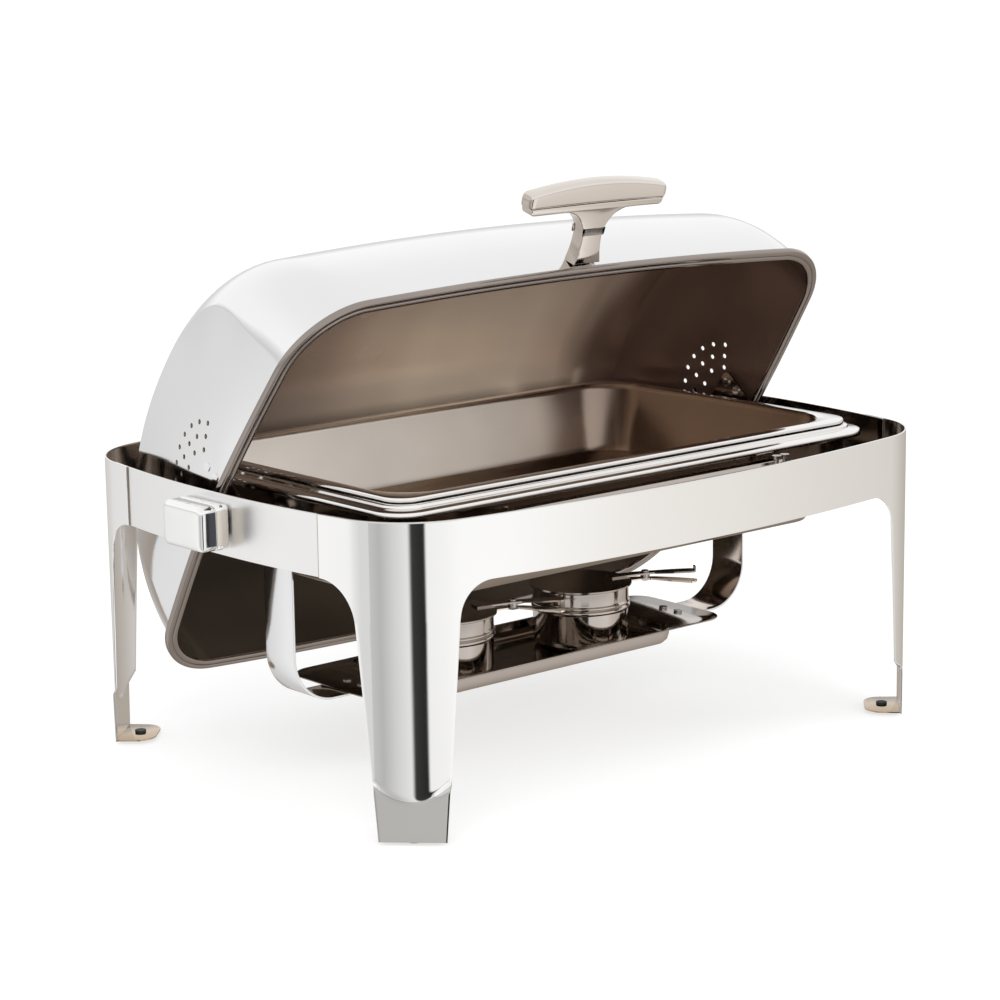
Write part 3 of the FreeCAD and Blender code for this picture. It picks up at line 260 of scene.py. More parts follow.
# Painted reflections on the satin inside of the cover: dark brown at both ends, tan in the middle.
COVER_IN = satin("cover_inside", [
    (0.0, (0.27, 0.21, 0.17)), (0.24, (0.27, 0.20, 0.16)), (0.42, (0.60, 0.47, 0.37)),
    (0.60, (0.86, 0.71, 0.56)), (0.77, (0.90, 0.74, 0.59)), (0.89, (0.78, 0.60, 0.46)),
    (0.965, (0.22, 0.14, 0.105)), (1.0, (0.14, 0.085, 0.065))],
    (0.18, 0.28), half_length=0.31, metal=0.45)
# Painted shade darkens the lower part of the cover's inside.
low_part_tone(COVER_IN, COVER_SHADE_LOW, COVER_SHADE_HIGH, (0.075, 0.06, 0.045), most=0.88)
BAND = steel("end_band_steel", (0.92, 0.915, 0.905), (0.88, 0.875, 0.86), (0.28, 0.34))
BOX = steel("box_steel", (0.93, 0.925, 0.92), (0.90, 0.895, 0.89), (0.08, 0.14))
# Tan tone on the folded foot pads under the legs: a painted reflection.
PAD = steel("foot_pad_steel", (0.56, 0.445, 0.32), (0.42, 0.33, 0.235), (0.08, 0.16))
STRAP = steel("strap_steel", (0.86, 0.86, 0.87), (0.80, 0.80, 0.81), (0.08, 0.16))
# Painted reflections on the hinge boxes' flat side faces: dark on the cap, grey-brown on the base.
CAP_SIDE = steel("box_cap_side", (0.12, 0.125, 0.14), (0.075, 0.08, 0.09), (0.05, 0.10))
BASE_SIDE = steel("box_base_side", (0.68, 0.62, 0.55), (0.61, 0.55, 0.485), (0.20, 0.30),
                  metal=0.25)
# Painted dark reflection on the cover's rolled rim.
RIM = steel("cover_rim_steel", (0.37, 0.325, 0.30), (0.285, 0.245, 0.22), (0.10, 0.18))
HANDLE = steel("cast_handle", (0.79, 0.735, 0.685), (0.68, 0.625, 0.575), (0.05, 0.11))
# Darker copy of the handle steel: a painted reflection on the faces that turn away from the light.
HANDLE_SIDE = steel("cast_handle_side", (0.58, 0.51, 0.45), (0.42, 0.36, 0.31), (0.05, 0.11))
# Painted reflections on the pans' satin walls: light at the left end, dark brown at the right.
PAN = satin("pan_steel", [
    (0.0, (0.62, 0.56, 0.51)), (0.40, (0.50, 0.45, 0.40)), (0.65, (0.42, 0.36, 0.31)),
    (0.85, (0.34, 0.27, 0.22)), (1.0, (0.30, 0.23, 0.19))],
    (0.16, 0.26), half_length=0.28)
PAN_RIM = steel("pan_rim_steel", (0.90, 0.88, 0.86), (0.84, 0.82, 0.80), (0.06, 0.12))
# Darker copy of the strap steel: a painted dark reflection on the straps' inner faces.
STRAP_IN = steel("strap_inside", (0.66, 0.58, 0.51), (0.54, 0.46, 0.40), (0.08, 0.16))
BRACKET = steel("bracket_steel", (0.52, 0.47, 0.435), (0.44, 0.395, 0.36), (0.08, 0.16))
HOLDER = steel("holder_steel", (0.60, 0.545, 0.50), (0.50, 0.45, 0.41), (0.06, 0.14))
LID = steel("lid_steel", (0.46, 0.40, 0.36), (0.36, 0.31, 0.27), (0.10, 0.18))
GRIP = steel("holder_grip_steel", (0.92, 0.84, 0.72), (0.82, 0.74, 0.62), (0.10, 0.18))
FASTENER = steel("fastener_steel", (0.62, 0.60, 0.58), (0.50, 0.48, 0.46), (0.18, 0.30))
NYLON = plastic("washer_nylon", (0.05, 0.05, 0.05), (0.03, 0.03, 0.03), (0.45, 0.6),
                grain_scale=500.0)
RUBBER = plastic("foot_rubber", (0.028, 0.027, 0.026), (0.016, 0.015, 0.015), (0.55, 0.75),
                 grain_scale=700.0)

# ---------------------------------------------------------------- mesh helpers

SHARP = 32.0
MERGE_GAP = 0.00002
BEVEL_ANGLE = math.radians(50.0)
LATHE_STEPS = 72
QUARTER_STEPS = 9


def skin(rings, closed=True, caps=False):
    """Quads between equal rings of points, with optional flat caps at both ends."""
    count = len(rings[0])
    verts = [p for ring in rings for p in ring]
    faces = []
    last = count if closed else count - 1
    for row in range(len(rings) - 1):
        for col in range(last):
            a = row * count + col
            b = row * count + (col + 1) % count
            faces.append((a, b, b + count, a + count))
    if caps:
        faces.append(tuple(reversed(range(count))))
        faces.append(tuple(range(len(verts) - count, len(verts))))
    return verts, faces


def joined(groups):
    """One (verts, faces) group from several."""
    verts = []
    faces = []
    for more_verts, more_faces in groups:
        start = len(verts)
        verts += [tuple(v) for v in more_verts]
        faces += [tuple(i + start for i in face) for face in more_faces]
    return verts, faces


def piece(name, shape, material, body, stands_for=(), parts=(), transform=None, sharp=SHARP):
    """Mesh object that rides on a body; parts are more (verts, faces) groups for the same mesh."""
    verts, faces = joined([shape, *parts])
    mesh = bpy.data.meshes.new(name)
    mesh.from_pydata(verts, [], faces)
    if transform is not None:
        mesh.transform(transform)
    mesh.validate()
    obj = bpy.data.objects.new(name, mesh)
    bpy.context.scene.collection.objects.link(obj)
    materials = material if isinstance(material, (list, tuple)) else [material]
    for item in materials:
        mesh.materials.append(item)
    smooth(mesh, sharp)
    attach(obj, body)
    if stands_for:
        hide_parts(*stands_for)
    return obj


def smooth(mesh, angle):
    """Smooth faces, with sharp edges over the angle in degrees."""
    mesh.shade_smooth()
    mesh.set_sharp_from_angle(angle=math.radians(angle))


def bake(obj, sharp=SHARP):
    """Turn an object's modifiers into its mesh."""
    bpy.context.view_layer.update()
    graph = bpy.context.evaluated_depsgraph_get()
    mesh = bpy.data.meshes.new_from_object(obj.evaluated_get(graph))
    obj.modifiers.clear()
    obj.data = mesh
    smooth(mesh, sharp)


@contextmanager
def editing(obj):
    """The object's mesh as a bmesh that is written back at the end."""
    work = bmesh.new()
    work.from_mesh(obj.data)
    yield work
    work.to_mesh(obj.data)
    work.free()


def merge(obj):
    """Join vertices that meet."""
    with editing(obj) as work:
        bmesh.ops.remove_doubles(work, verts=work.verts, dist=MERGE_GAP)


def tidy_normals(obj):
    """Make a closed mesh's faces point outwards."""
    with editing(obj) as work:
        bmesh.ops.recalc_face_normals(work, faces=work.faces)


def face_away(obj, inside):
    """Point an open sheet's faces away from a point inside."""
    with editing(obj) as work:
        bmesh.ops.recalc_face_normals(work, faces=work.faces)
        away = sum((f.calc_center_median() - inside).dot(f.normal) * f.calc_area()
                   for f in work.faces)
        if away < 0:
            bmesh.ops.reverse_faces(work, faces=work.faces)


def soften(obj, width):
    """Round the sharp edges."""
    bevel = obj.modifiers.new("edges", "BEVEL")
    bevel.width = width
    bevel.segments = 2
    bevel.limit_method = "ANGLE"
    bevel.angle_limit = BEVEL_ANGLE


def thicken(obj, thickness, inside, edge=0.0, sharp=SHARP):
    """Thicken a one-sided sheet towards a point inside it, and round its edges if asked."""
    face_away(obj, inside)
    solid = obj.modifiers.new("thickness", "SOLIDIFY")
    solid.thickness = thickness
    solid.offset = -1.0
    solid.material_offset = 1
    if edge:
        soften(obj, edge)
    bake(obj, sharp)


def use_second_material(obj, chosen):
    """Put the piece's second material on the faces for which chosen is true."""
    for face in obj.data.polygons:
        if chosen(face):
            face.material_index = 1


def rounded_ring(half_x, half_y, radius, steps=QUARTER_STEPS):
    """Points of a rounded rectangle, counter-clockwise, in its own plane."""
    out = []
    for quarter, (sx, sy) in enumerate(((1, 1), (-1, 1), (-1, -1), (1, -1))):
        for step in range(steps + 1):
            angle = math.radians(90.0 * (quarter + step / steps))
            out.append((sx * (half_x - radius) + radius * math.cos(angle),
                        sy * (half_y - radius) + radius * math.sin(angle)))
    return out


def level_rings(stations, centre=(0.0, 0.0)):
    """Rings at a height from (half length, half depth, corner radius, height), in millimetres."""
    rings = []
    for half_x, half_y, radius, height in stations:
        rings.append([
            Vector((x * MM + centre[0], y * MM + centre[1], height * MM))
            for x, y in rounded_ring(half_x, half_y, radius)])
    return rings


def fillet_path(points, steps):
    """Open path through (a, b, radius) corners with arcs of so many steps at the corners."""
    out = []
    for i, (a, b, radius) in enumerate(points):
        here = Vector((a, b))
        if radius <= 0 or i in (0, len(points) - 1):
            out.append(here)
            continue
        back = (Vector(points[i - 1][:2]) - here).normalized()
        on = (Vector(points[i + 1][:2]) - here).normalized()
        half = math.acos(max(-1.0, min(1.0, back.dot(on)))) / 2
        start = here + back * (radius / math.tan(half))
        centre = here + (back + on).normalized() * (radius / math.sin(half))
        first = start - centre
        side = math.copysign(1.0, back.y * on.x - back.x * on.y)
        whole = side * (math.pi - 2 * half)
        for step in range(steps + 1):
            angle = whole * step / steps
            cosine = math.cos(angle)
            sine = math.sin(angle)
            out.append(centre + Vector((
                first.x * cosine - first.y * sine, first.x * sine + first.y * cosine)))
    return out


def lathe(profile):
    """Rings round the Z axis from (radius, height) points; zero radius closes to the axis."""
    turns = [math.tau * k / LATHE_STEPS for k in range(LATHE_STEPS)]
    return [[Vector((radius * MM * math.cos(turn), radius * MM * math.sin(turn), height * MM))
             for turn in turns] for radius, height in profile]


def half_turned(turned):
    """Half a turn about Z for the copy at the rear or the left."""
    return Matrix.Rotation(math.pi if turned else 0.0, 4, "Z")


# ---------------------------------------------------------------- frame plan

CORNER_ROUND = 78.0
END_BOW = 15.0
SIDE_BOW = 20.0
SHEET = 1.5
SEAM_REACH = 137.0
HALF_LENGTH = 330.0
HALF_DEPTH = 250.0


def bow_radius(half_chord, bow):
    """Radius of a bowed side."""
    return (half_chord ** 2 + bow ** 2) / (2 * bow)


END_RADIUS = bow_radius(HALF_DEPTH - CORNER_ROUND, END_BOW)
SIDE_RADIUS = bow_radius(HALF_LENGTH - CORNER_ROUND, SIDE_BOW)
END_CENTRE = Vector((HALF_LENGTH - END_RADIUS, 0.0))
SIDE_CENTRE = Vector((0.0, HALF_DEPTH - SIDE_RADIUS))


def corner_centre():
    """Centre of the corner arc, tangent to both bowed sides."""
    gap = SIDE_CENTRE - END_CENTRE
    to_end = END_RADIUS - CORNER_ROUND
    to_side = SIDE_RADIUS - CORNER_ROUND
    along = (to_end ** 2 - to_side ** 2 + gap.length_squared) / (2 * gap.length)
    across = math.sqrt(to_end ** 2 - along ** 2)
    unit = gap.normalized()
    foot = END_CENTRE + unit * along
    side = Vector((-unit.y, unit.x)) * across
    return max((foot + side, foot - side), key=lambda p: p.x + p.y)


CORNER = corner_centre()
END_TANGENT = math.atan2(CORNER.y, CORNER.x - END_CENTRE.x)
SIDE_TANGENT = math.atan2(CORNER.y - SIDE_CENTRE.y, CORNER.x)


def plan_at_x(x):
    """Front outline at this x, for the right half."""
    if x <= SIDE_RADIUS * math.cos(SIDE_TANGENT):
        return Vector((x, -SIDE_CENTRE.y - math.sqrt(SIDE_RADIUS ** 2 - x ** 2)))
    return Vector((x, -CORNER.y - math.sqrt(CORNER_ROUND ** 2 - (x - CORNER.x) ** 2)))


def plan_at_y(y):
    """Right end outline at this y, for the front half, where y is negative."""
    if -y <= END_RADIUS * math.sin(END_TANGENT):
        return Vector((END_CENTRE.x + math.sqrt(END_RADIUS ** 2 - y ** 2), y))
    return Vector((CORNER.x + math.sqrt(CORNER_ROUND ** 2 - (-y - CORNER.y) ** 2), y))


# ---------------------------------------------------------------- leg panels

FACET_HALF = 30.6
FACET_SHIFT = -5.0
FACET_OUT = 75.9
FACET_TAPER = 3.2
FACET_TOP = 38.0
FACET_RISE = 13.0
FACET_BLEND = 3.5
FACET_LEVEL = 44.0
PAD_LEVEL = 3.0
DIAGONAL = math.sqrt(0.5)
LEG_FRONT_TOP = 250.0
LEG_FRONT_FOOT = 262.7
LEG_FRONT_FILLET = 30.0
LEG_END_TOP = -171.0
LEG_END_FOOT = -186.9
LEG_END_FILLET = 36.0
FILLET_STEPS = 12
FRONT_PATH = fillet_path([
    (0, BAND_LOW, 0), (LEG_FRONT_TOP, BAND_LOW, LEG_FRONT_FILLET),
    (LEG_FRONT_FOOT, FACET_LEVEL, 0)], FILLET_STEPS)
END_PATH = fillet_path([
    (LEG_END_FOOT, FACET_LEVEL, 0), (LEG_END_TOP, BAND_LOW, LEG_END_FILLET),
    (-SEAM_REACH, BAND_LOW, 0)], FILLET_STEPS)
# Heights of the leg's rows, closest together round the crease over the foot facet.
LEG_ROWS = [PAD_LEVEL, 12, 24, 31, *range(34, 56, 2), 57, 62, 80, 110, 145]
BAND_ROWS = (0.0, 0.02, 0.33, 0.66, 0.98, 1.0)
SIDE_COLUMNS = range(0, 215, 15)
LEG_STEPS = 26
FOLD_HALF = 26.0
FOLD_DEPTH = 33.0
FOLD_ROUND = 16.0
FOLD_TAPER = 1.0
FOLD_GAP = 0.3
FOLD_STEPS = 10
PANEL_EDGE = 0.3
CREASE_TONE_DROP = 1.0
CREASE_TONE_MOST = 4.0
FRAME_INSIDE = Vector((0.0, 0.0, 0.15))


def facet_point(along, inward):
    """Point by its place along the 45-degree foot facet and inward from its face."""
    base = CORNER + Vector((DIAGONAL, DIAGONAL)) * (FACET_OUT - inward)
    shift = along + FACET_SHIFT
    return Vector((base.x + DIAGONAL * shift, -base.y + DIAGONAL * shift))


def ease(value):
    """Smooth step from 0 to 1."""
    value = min(1.0, max(0.0, value))
    return value * value * (3 - 2 * value)


def leg_edge(near, far, z):
    """Place of a leg's straight edge at a height; near is at the fillet, far at the facet."""
    slope = (far.x - near.x) / (near.y - far.y)
    return near.x + slope * max(0.0, near.y - z)


def leg_spot(share, z):
    """Plan point of the leg at a share of its width, round above and flat at the foot."""
    front = plan_at_x(leg_edge(FRONT_PATH[-2], FRONT_PATH[-1], z))
    end = plan_at_y(leg_edge(END_PATH[1], END_PATH[0], z))
    front_angle = math.atan2(front.y + CORNER.y, front.x - CORNER.x)
    end_angle = math.atan2(end.y + CORNER.y, end.x - CORNER.x)
    angle = front_angle + (end_angle - front_angle) * share
    middle = Vector((CORNER.x, -CORNER.y))
    corner = middle + Vector((math.cos(angle), math.sin(angle))) * CORNER_ROUND
    side = 2 * share - 1
    crease = FACET_TOP + FACET_RISE * side * side
    half = FACET_HALF - FACET_TAPER * max(0.0, 1 - z / FACET_LEVEL)
    mix = ease((crease + FACET_BLEND - z) / (2 * FACET_BLEND))
    return corner.lerp(facet_point(side * half, 0.0), mix)


def band_column(spot, low):
    """Column of the sheet from this height to the top edge."""
    return [Vector((spot.x, spot.y, low + (BAND_TOP - low) * share)) * MM for share in BAND_ROWS]


def half_panel():
    """Upper columns from the middle of the side to the end seam, and the leg's lower columns."""
    columns = [band_column(plan_at_x(x), BAND_LOW) for x in SIDE_COLUMNS]
    columns += [band_column(plan_at_x(p.x), p.y) for p in FRONT_PATH[1:-2]]
    leg = []
    for step in range(LEG_STEPS + 1):
        share = step / LEG_STEPS
        split = FRONT_PATH[-2].y + (END_PATH[1].y - FRONT_PATH[-2].y) * share
        columns.append(band_column(leg_spot(share, split), split))
        column = []
        for z in [*LEG_ROWS, split]:
            spot = leg_spot(share, z)
            column.append(Vector((spot.x, spot.y, z)) * MM)
        leg.append(column)
    columns += [band_column(plan_at_y(p.x), p.y) for p in END_PATH[2:]]
    return columns, leg


def mirrored(columns):
    """The same columns or hoops on the left, in order from left to right."""
    return [[Vector((-p.x, p.y, p.z)) for p in column] for column in reversed(columns)]


def foot_fold(mirror):
    """Folded foot pad with a round inner end, as a thin closed slab."""
    far = FOLD_HALF - FOLD_TAPER
    outline = fillet_path([
        (-FOLD_HALF, FOLD_GAP, 0), (FOLD_HALF, FOLD_GAP, 0), (far, FOLD_DEPTH, FOLD_ROUND),
        (-far, FOLD_DEPTH, FOLD_ROUND), (-FOLD_HALF, FOLD_GAP, 0)], FOLD_STEPS)[:-1]
    rings = []
    for z in (PAD_LEVEL, PAD_LEVEL + SHEET):
        ring = []
        for along, inward in outline:
            spot = facet_point(along, inward)
            ring.append(Vector((mirror * spot.x, spot.y, z)) * MM)
        rings.append(ring)
    return rings


def facet_painted_shade(material, colour):
    """Painted shade: a darker tone on the flat foot facets, below their curved crease."""
    tree = material.node_tree
    x, y, z = coordinates(tree, "Object")
    gap = maths(tree, "SUBTRACT", maths(tree, "ABSOLUTE", x), maths(tree, "ABSOLUTE", y))
    along = maths(tree, "SUBTRACT", gap, (CORNER.x - CORNER.y + FACET_SHIFT / DIAGONAL) * MM)
    side = maths(tree, "MULTIPLY", along, DIAGONAL / (FACET_HALF * MM))
    rise = maths(tree, "MULTIPLY", maths(tree, "MULTIPLY", side, side), FACET_RISE * MM)
    crease = maths(tree, "ADD", rise, (FACET_TOP - CREASE_TONE_DROP) * MM)
    crease = maths(tree, "MINIMUM", crease, (FACET_TOP + FACET_RISE + CREASE_TONE_MOST) * MM)
    tint(material, maths(tree, "LESS_THAN", z, crease), colour)


# Painted shade on the flat foot facets of the leg panels.
facet_painted_shade(PANEL, (0.60, 0.585, 0.565))


def leg_panel(name, node, turned):
    """One long side of the frame with its two legs, pressed from one sheet."""
    right, leg = half_panel()
    turn = half_turned(turned)
    obj = piece(name, skin(mirrored(right[1:]) + right, closed=False),
                [PANEL, PANEL_IN], "frame", stands_for=(node,), transform=turn,
                parts=[skin(leg, closed=False), skin(mirrored(leg), closed=False)])
    merge(obj)
    thicken(obj, SHEET * MM, FRAME_INSIDE, edge=PANEL_EDGE * MM)
    for side, mirror in (("right", 1), ("left", -1)):
        fold = piece(name + "_foot_" + side, skin(foot_fold(mirror), caps=True), PAD,
                     "frame", transform=turn)
        tidy_normals(fold)
        soften(fold, PANEL_EDGE * MM)
        bake(fold)


leg_panel("front_panel", "front_leg_panel", False)
leg_panel("rear_panel", "rear_leg_panel", True)

# ---------------------------------------------------------------- end bands

BAND_REACH = 163.0
BAND_GAP = 0.05
BAND_INSET = 0.2
BAND_LIP = 1.2
BAND_STEPS = 40
SEAM_SHADE_WIDTH = 2.5


def seam_shade_line(material, near, far, colour):
    """Painted shade line on the band just beside each panel seam, standing in for the shade and
    the reflection of the panel edge.
    """
    tree = material.node_tree
    reach = maths(tree, "ABSOLUTE", coordinates(tree, "Object")[1])
    inside = maths(tree, "GREATER_THAN", reach, near)
    tint(material, maths(tree, "MULTIPLY", inside, maths(tree, "LESS_THAN", reach, far)), colour)


# Painted shade and reflection of the panel edge beside each seam.
seam_shade_line(BAND, (SEAM_REACH - SEAM_SHADE_WIDTH) * MM, SEAM_REACH * MM, (0.50, 0.44, 0.38))


def end_band(name, node, turned):
    """Curved strip across one end, tucked behind the leg panels."""
    radius = END_RADIUS - SHEET - BAND_GAP
    reach = math.asin(BAND_REACH / END_RADIUS)
    heights = (BAND_LOW + BAND_INSET, BAND_LOW + BAND_LIP,
               BAND_TOP - BAND_LIP, BAND_TOP - BAND_INSET)
    columns = []
    for step in range(BAND_STEPS + 1):
        angle = reach * (2 * step / BAND_STEPS - 1)
        x = END_CENTRE.x + radius * math.cos(angle)
        y = radius * math.sin(angle)
        columns.append([Vector((x, y, z)) * MM for z in heights])
    obj = piece(name, skin(columns, closed=False), [BAND, DARK_SIDE], "frame",
                stands_for=(node,), transform=half_turned(turned))
    thicken(obj, SHEET * MM, FRAME_INSIDE, edge=PANEL_EDGE * MM)


end_band("right_band", "right_end_band", False)
end_band("left_band", "left_end_band", True)

# ---------------------------------------------------------------- hinge boxes

BOX_HALF_Y = 28.5
BOX_HALF_Z = 19.0
BOX_CORNER_STEPS = 8
# Inset from the full size, corner radius and x.
BASE_STATIONS = ((0.6, 4.4, 330.1), (0.0, 5.0, 330.7), (0.0, 5.0, 341.3), (0.8, 4.4, 342.0))
CAP_ROUND = 6.0
CAP_SHOULDER = 352.5
CAP_STATIONS = ((0.9, 5.2, 342.3), (0.0, CAP_ROUND, 342.9), (0.0, CAP_ROUND, CAP_SHOULDER))
# Half size along y and z, corner radius and x of the flat middle of the face.
CAP_MIDDLE = (14.0, 8.0, 2.0, 358.05)
PILLOW_INSET = 5.5
PILLOW_RISE = 5.2
PILLOW_ROUNDING = 0.55
PILLOW_STEPS = 8
BOX_SIDE_FACING = 0.995


def box_ring(half_y, half_z, radius, x):
    """Rounded ring across X, about the hinge's height."""
    ring = rounded_ring(half_y, half_z, radius, BOX_CORNER_STEPS)
    return [Vector((x, y, HINGE_LEVEL + z)) * MM for y, z in ring]


def box_rings(stations):
    """Rings of a box from (inset from its full size, corner radius, x)."""
    return [box_ring(BOX_HALF_Y - inset, BOX_HALF_Z - inset, radius, x)
            for inset, radius, x in stations]


def box_piece(name, node, rings, side_material, turned):
    """Closed part of a hinge box with a painted reflection tone on its two flat side faces."""
    obj = piece(name, skin(rings, caps=True), [BOX, side_material],
                "frame", stands_for=(node,), transform=half_turned(turned),
                sharp=60)
    tidy_normals(obj)
    use_second_material(obj, lambda face: abs(face.normal.y) > BOX_SIDE_FACING)


def hinge_box(side, turned):
    """Polished box over the hinge: a base against the band and a pillowed cap."""
    base = box_rings(BASE_STATIONS)
    box_piece(side + "_box_base", side + "_hinge_base", base, BASE_SIDE, turned)
    stations = [*CAP_STATIONS]
    for step in range(1, PILLOW_STEPS + 1):
        angle = math.pi / 2 * step / PILLOW_STEPS
        inset = PILLOW_INSET * (1 - math.cos(angle))
        stations.append((inset, CAP_ROUND - inset * PILLOW_ROUNDING,
                         CAP_SHOULDER + PILLOW_RISE * math.sin(angle)))
    cap = box_rings(stations) + [box_ring(*CAP_MIDDLE)]
    box_piece(side + "_box_cap", side + "_hinge_cap", cap, CAP_SIDE, turned)


hinge_box("right", False)
hinge_box("left", True)

# ---------------------------------------------------------------- pans

FOOD_TOP = FOOD_HIGH.z / MM


def pan(name, stations, rim_rows):
    """Closed drawn pan: up its outside, over the rim and down its inside.

    Stations are (half length, half depth, corner radius, height). The rim rows get the second
    material and the outside below them the third.
    """
    rings = level_rings(stations, centre=(0.0, PAN_Y))
    obj = piece(name + "_shell", skin(rings, caps=True),
                [PAN, PAN_RIM, DARK_SIDE], name, stands_for=(name,), sharp=38)
    sides = len(rings[0])
    for face in obj.data.polygons:
        row = face.index // sides
        if row in rim_rows:
            face.material_index = 1
        # The outside below the rim gets the painted dark reflection.
        elif row < rim_rows[0]:
            face.material_index = 2
    tidy_normals(obj)


pan("water_pan", [
    (236, 136, 30, 178.0), (243, 143, 33.5, 179.4), (246, 146, 36, 184), (257, 157, 41, 255),
    (258, 158, 42, 261.2), (275.6, 173.6, 28.8, 261.4), (276.9, 174.9, 29.4, 257.4),
    (278, 176, 30, 257.2), (278, 176, 30, 260.8), (277.3, 175.3, 29.5, 262.2),
    (275.6, 173.6, 28.4, 263.0), (269.6, 167.6, 25.2, 263.1), (268.4, 166.4, 24.4, 263.9),
    (267.9, 165.9, 24, 265.8), (266.9, 164.9, 23.4, 266.5), (260.5, 160.5, 42.5, 266.5),
    (258.2, 158.2, 41.6, 265.8), (257.1, 157.1, 41, 263.5), (245, 145, 35, 184.6),
    (242, 142, 33, 180.4), (236, 136, 30, 179.2)],
    rim_rows=range(5, 16))

pan("food_pan", [
    (228, 126, 32, FOOD_LOW.z / MM + 0.1), (235, 133, 35.5, 207.2), (238, 136, 38, 212),
    (252.6, 150.1, 43.4, 267), (254.2, 151.7, 43.8, 270.7), (263.2, 160.7, 21, 270.8),
    (263.7, 161.2, 21.2, 267.2), (264.3, 161.8, 21.6, 266.9), (265, 162.5, 22, 267.4),
    (265, 162.5, 22, 270.3), (264.4, 161.9, 21.5, 271.4), (262.9, 160.4, 21, FOOD_TOP),
    (256.5, 154.0, 34, FOOD_TOP), (254.4, 151.9, 43.4, 271.6), (252.6, 150.1, 43, 269.6),
    (251.8, 149.3, 42.7, 266), (238.2, 136.2, 37.6, 214), (235.4, 133.4, 36, 208.8),
    (228, 126, 32, 207.0)],
    rim_rows=range(5, 13))

# ---------------------------------------------------------------- rolling cover

COVER_HALF = 302.0
COVER_BULGE = 10.0
COVER_DEPTH = 214.0
COVER_TALL = 180.0
COVER_SHEET = 1.2
RIM_LEVEL = 16.0
END_ROUND = 60.0
CROWN = 0.055
LEAN = 0.03
SQUARENESS = 2.22
CROWN_SPAN = 290.0
MEAN_SPAN = 200.0
CREASE_ROOF = 50.0
CREASE_RIM = 82.4
CREASE_POWER = 3
BULGE_POWER = 1.5
ARCH_STEPS = 64
ARCH = [math.pi * step / ARCH_STEPS for step in range(ARCH_STEPS + 1)]
ROOF_STEPS = 14
SHOULDER_STEPS = 12
END_SHARES = (1.0, 0.985, 0.955, 0.91, 0.85, 0.78, 0.7, 0.62, 0.54, 0.46, 0.38, 0.3, 0.22, 0.14,
              0.07, 0.0)
COVER_SHARP = 24.0
COVER_INSIDE = Vector((0.0, 0.0, 0.08))


def power(value, exponent):
    """Signed power."""
    return math.copysign(abs(value) ** exponent, value)


def section(theta, x_raw, scale):
    """Point of the cover wall; theta runs from the front rim over the roof to the back rim."""
    crown = 1.0 - CROWN * (x_raw / CROWN_SPAN) ** 2
    y = COVER_DEPTH * power(math.cos(theta), 2 / SQUARENESS) * crown * scale
    z = COVER_TALL * power(math.sin(theta), 2 / SQUARENESS) * crown * scale
    x = x_raw * (1.0 - LEAN * z / COVER_HALF)
    return Vector((x, -y, z + RIM_LEVEL)) * MM


def crease_angle(theta):
    """How far the rounding to the end wall goes round before it stops at the crease."""
    near_rim = abs(math.cos(theta)) ** CREASE_POWER
    return math.radians(CREASE_ROOF + (CREASE_RIM - CREASE_ROOF) * ease(near_rim))


def shoulder(theta, share):
    """Raw x and size at a share of the rounding between roof and end wall."""
    phi = crease_angle(theta) * share
    x = COVER_HALF - END_ROUND + END_ROUND * math.sin(phi)
    return x, 1 - END_ROUND * (1 - math.cos(phi)) / MEAN_SPAN


def roof_rings():
    """Half-hoops from the left crease to the right crease."""
    hoops = []
    for step in range(ROOF_STEPS + 1):
        x = (COVER_HALF - END_ROUND) * step / ROOF_STEPS
        hoops.append([section(theta, x, 1.0) for theta in ARCH])
    for step in range(1, SHOULDER_STEPS + 1):
        hoops.append([section(theta, *shoulder(theta, step / SHOULDER_STEPS)) for theta in ARCH])
    return mirrored(hoops[1:]) + hoops


def end_wall_x(edge, share):
    """X of the bulged end wall at a share of the way from its middle out to a crease point."""
    return edge.x + ((COVER_HALF + COVER_BULGE) * MM - edge.x) * (1 - share ** BULGE_POWER)


def end_wall_rings(sign):
    """Hoops that shrink from the crease to the middle of the end wall at the rim."""
    crease = [section(theta, *shoulder(theta, 1.0)) for theta in ARCH]
    hoops = []
    for share in END_SHARES:
        hoop = []
        for edge in crease:
            height = (edge.z - RIM_LEVEL * MM) * share + RIM_LEVEL * MM
            hoop.append(Vector((sign * end_wall_x(edge, share), edge.y * share, height)))
        hoops.append(hoop)
    return hoops


# Each arc's radius, number of holes and degrees from hole to hole.
VENT_ARCS = ((49.0, 8, 17.2), (37.5, 6, 23.4), (26.0, 4, 37.5))
VENT_RISE = 30.0
VENT_RADIUS = 2.25
VENT_SIDES = 20
DRILL_REACH = 0.4


def drill_tool():
    """One mesh of long cylinders along X through every vent hole."""
    turns = [math.tau * side / VENT_SIDES for side in range(VENT_SIDES)]
    drills = []
    for radius, count, step in VENT_ARCS:
        for k in range(count):
            angle = math.radians((k - (count - 1) / 2) * step)
            centre = Vector((0.0, radius * math.sin(angle),
                             RIM_LEVEL + VENT_RISE + radius * math.cos(angle))) * MM
            rings = [[centre + Vector((x, VENT_RADIUS * MM * math.cos(turn),
                                       VENT_RADIUS * MM * math.sin(turn))) for turn in turns]
                     for x in (-DRILL_REACH, DRILL_REACH)]
            drills.append(skin(rings, caps=True))
    verts, faces = joined(drills)
    mesh = bpy.data.meshes.new("drills")
    mesh.from_pydata(verts, [], faces)
    mesh.transform(COVER_TURN)
    tool = bpy.data.objects.new("drills", mesh)
    bpy.context.scene.collection.objects.link(tool)
    tidy_normals(tool)
    mesh.materials.append(COVER_IN)
    return tool


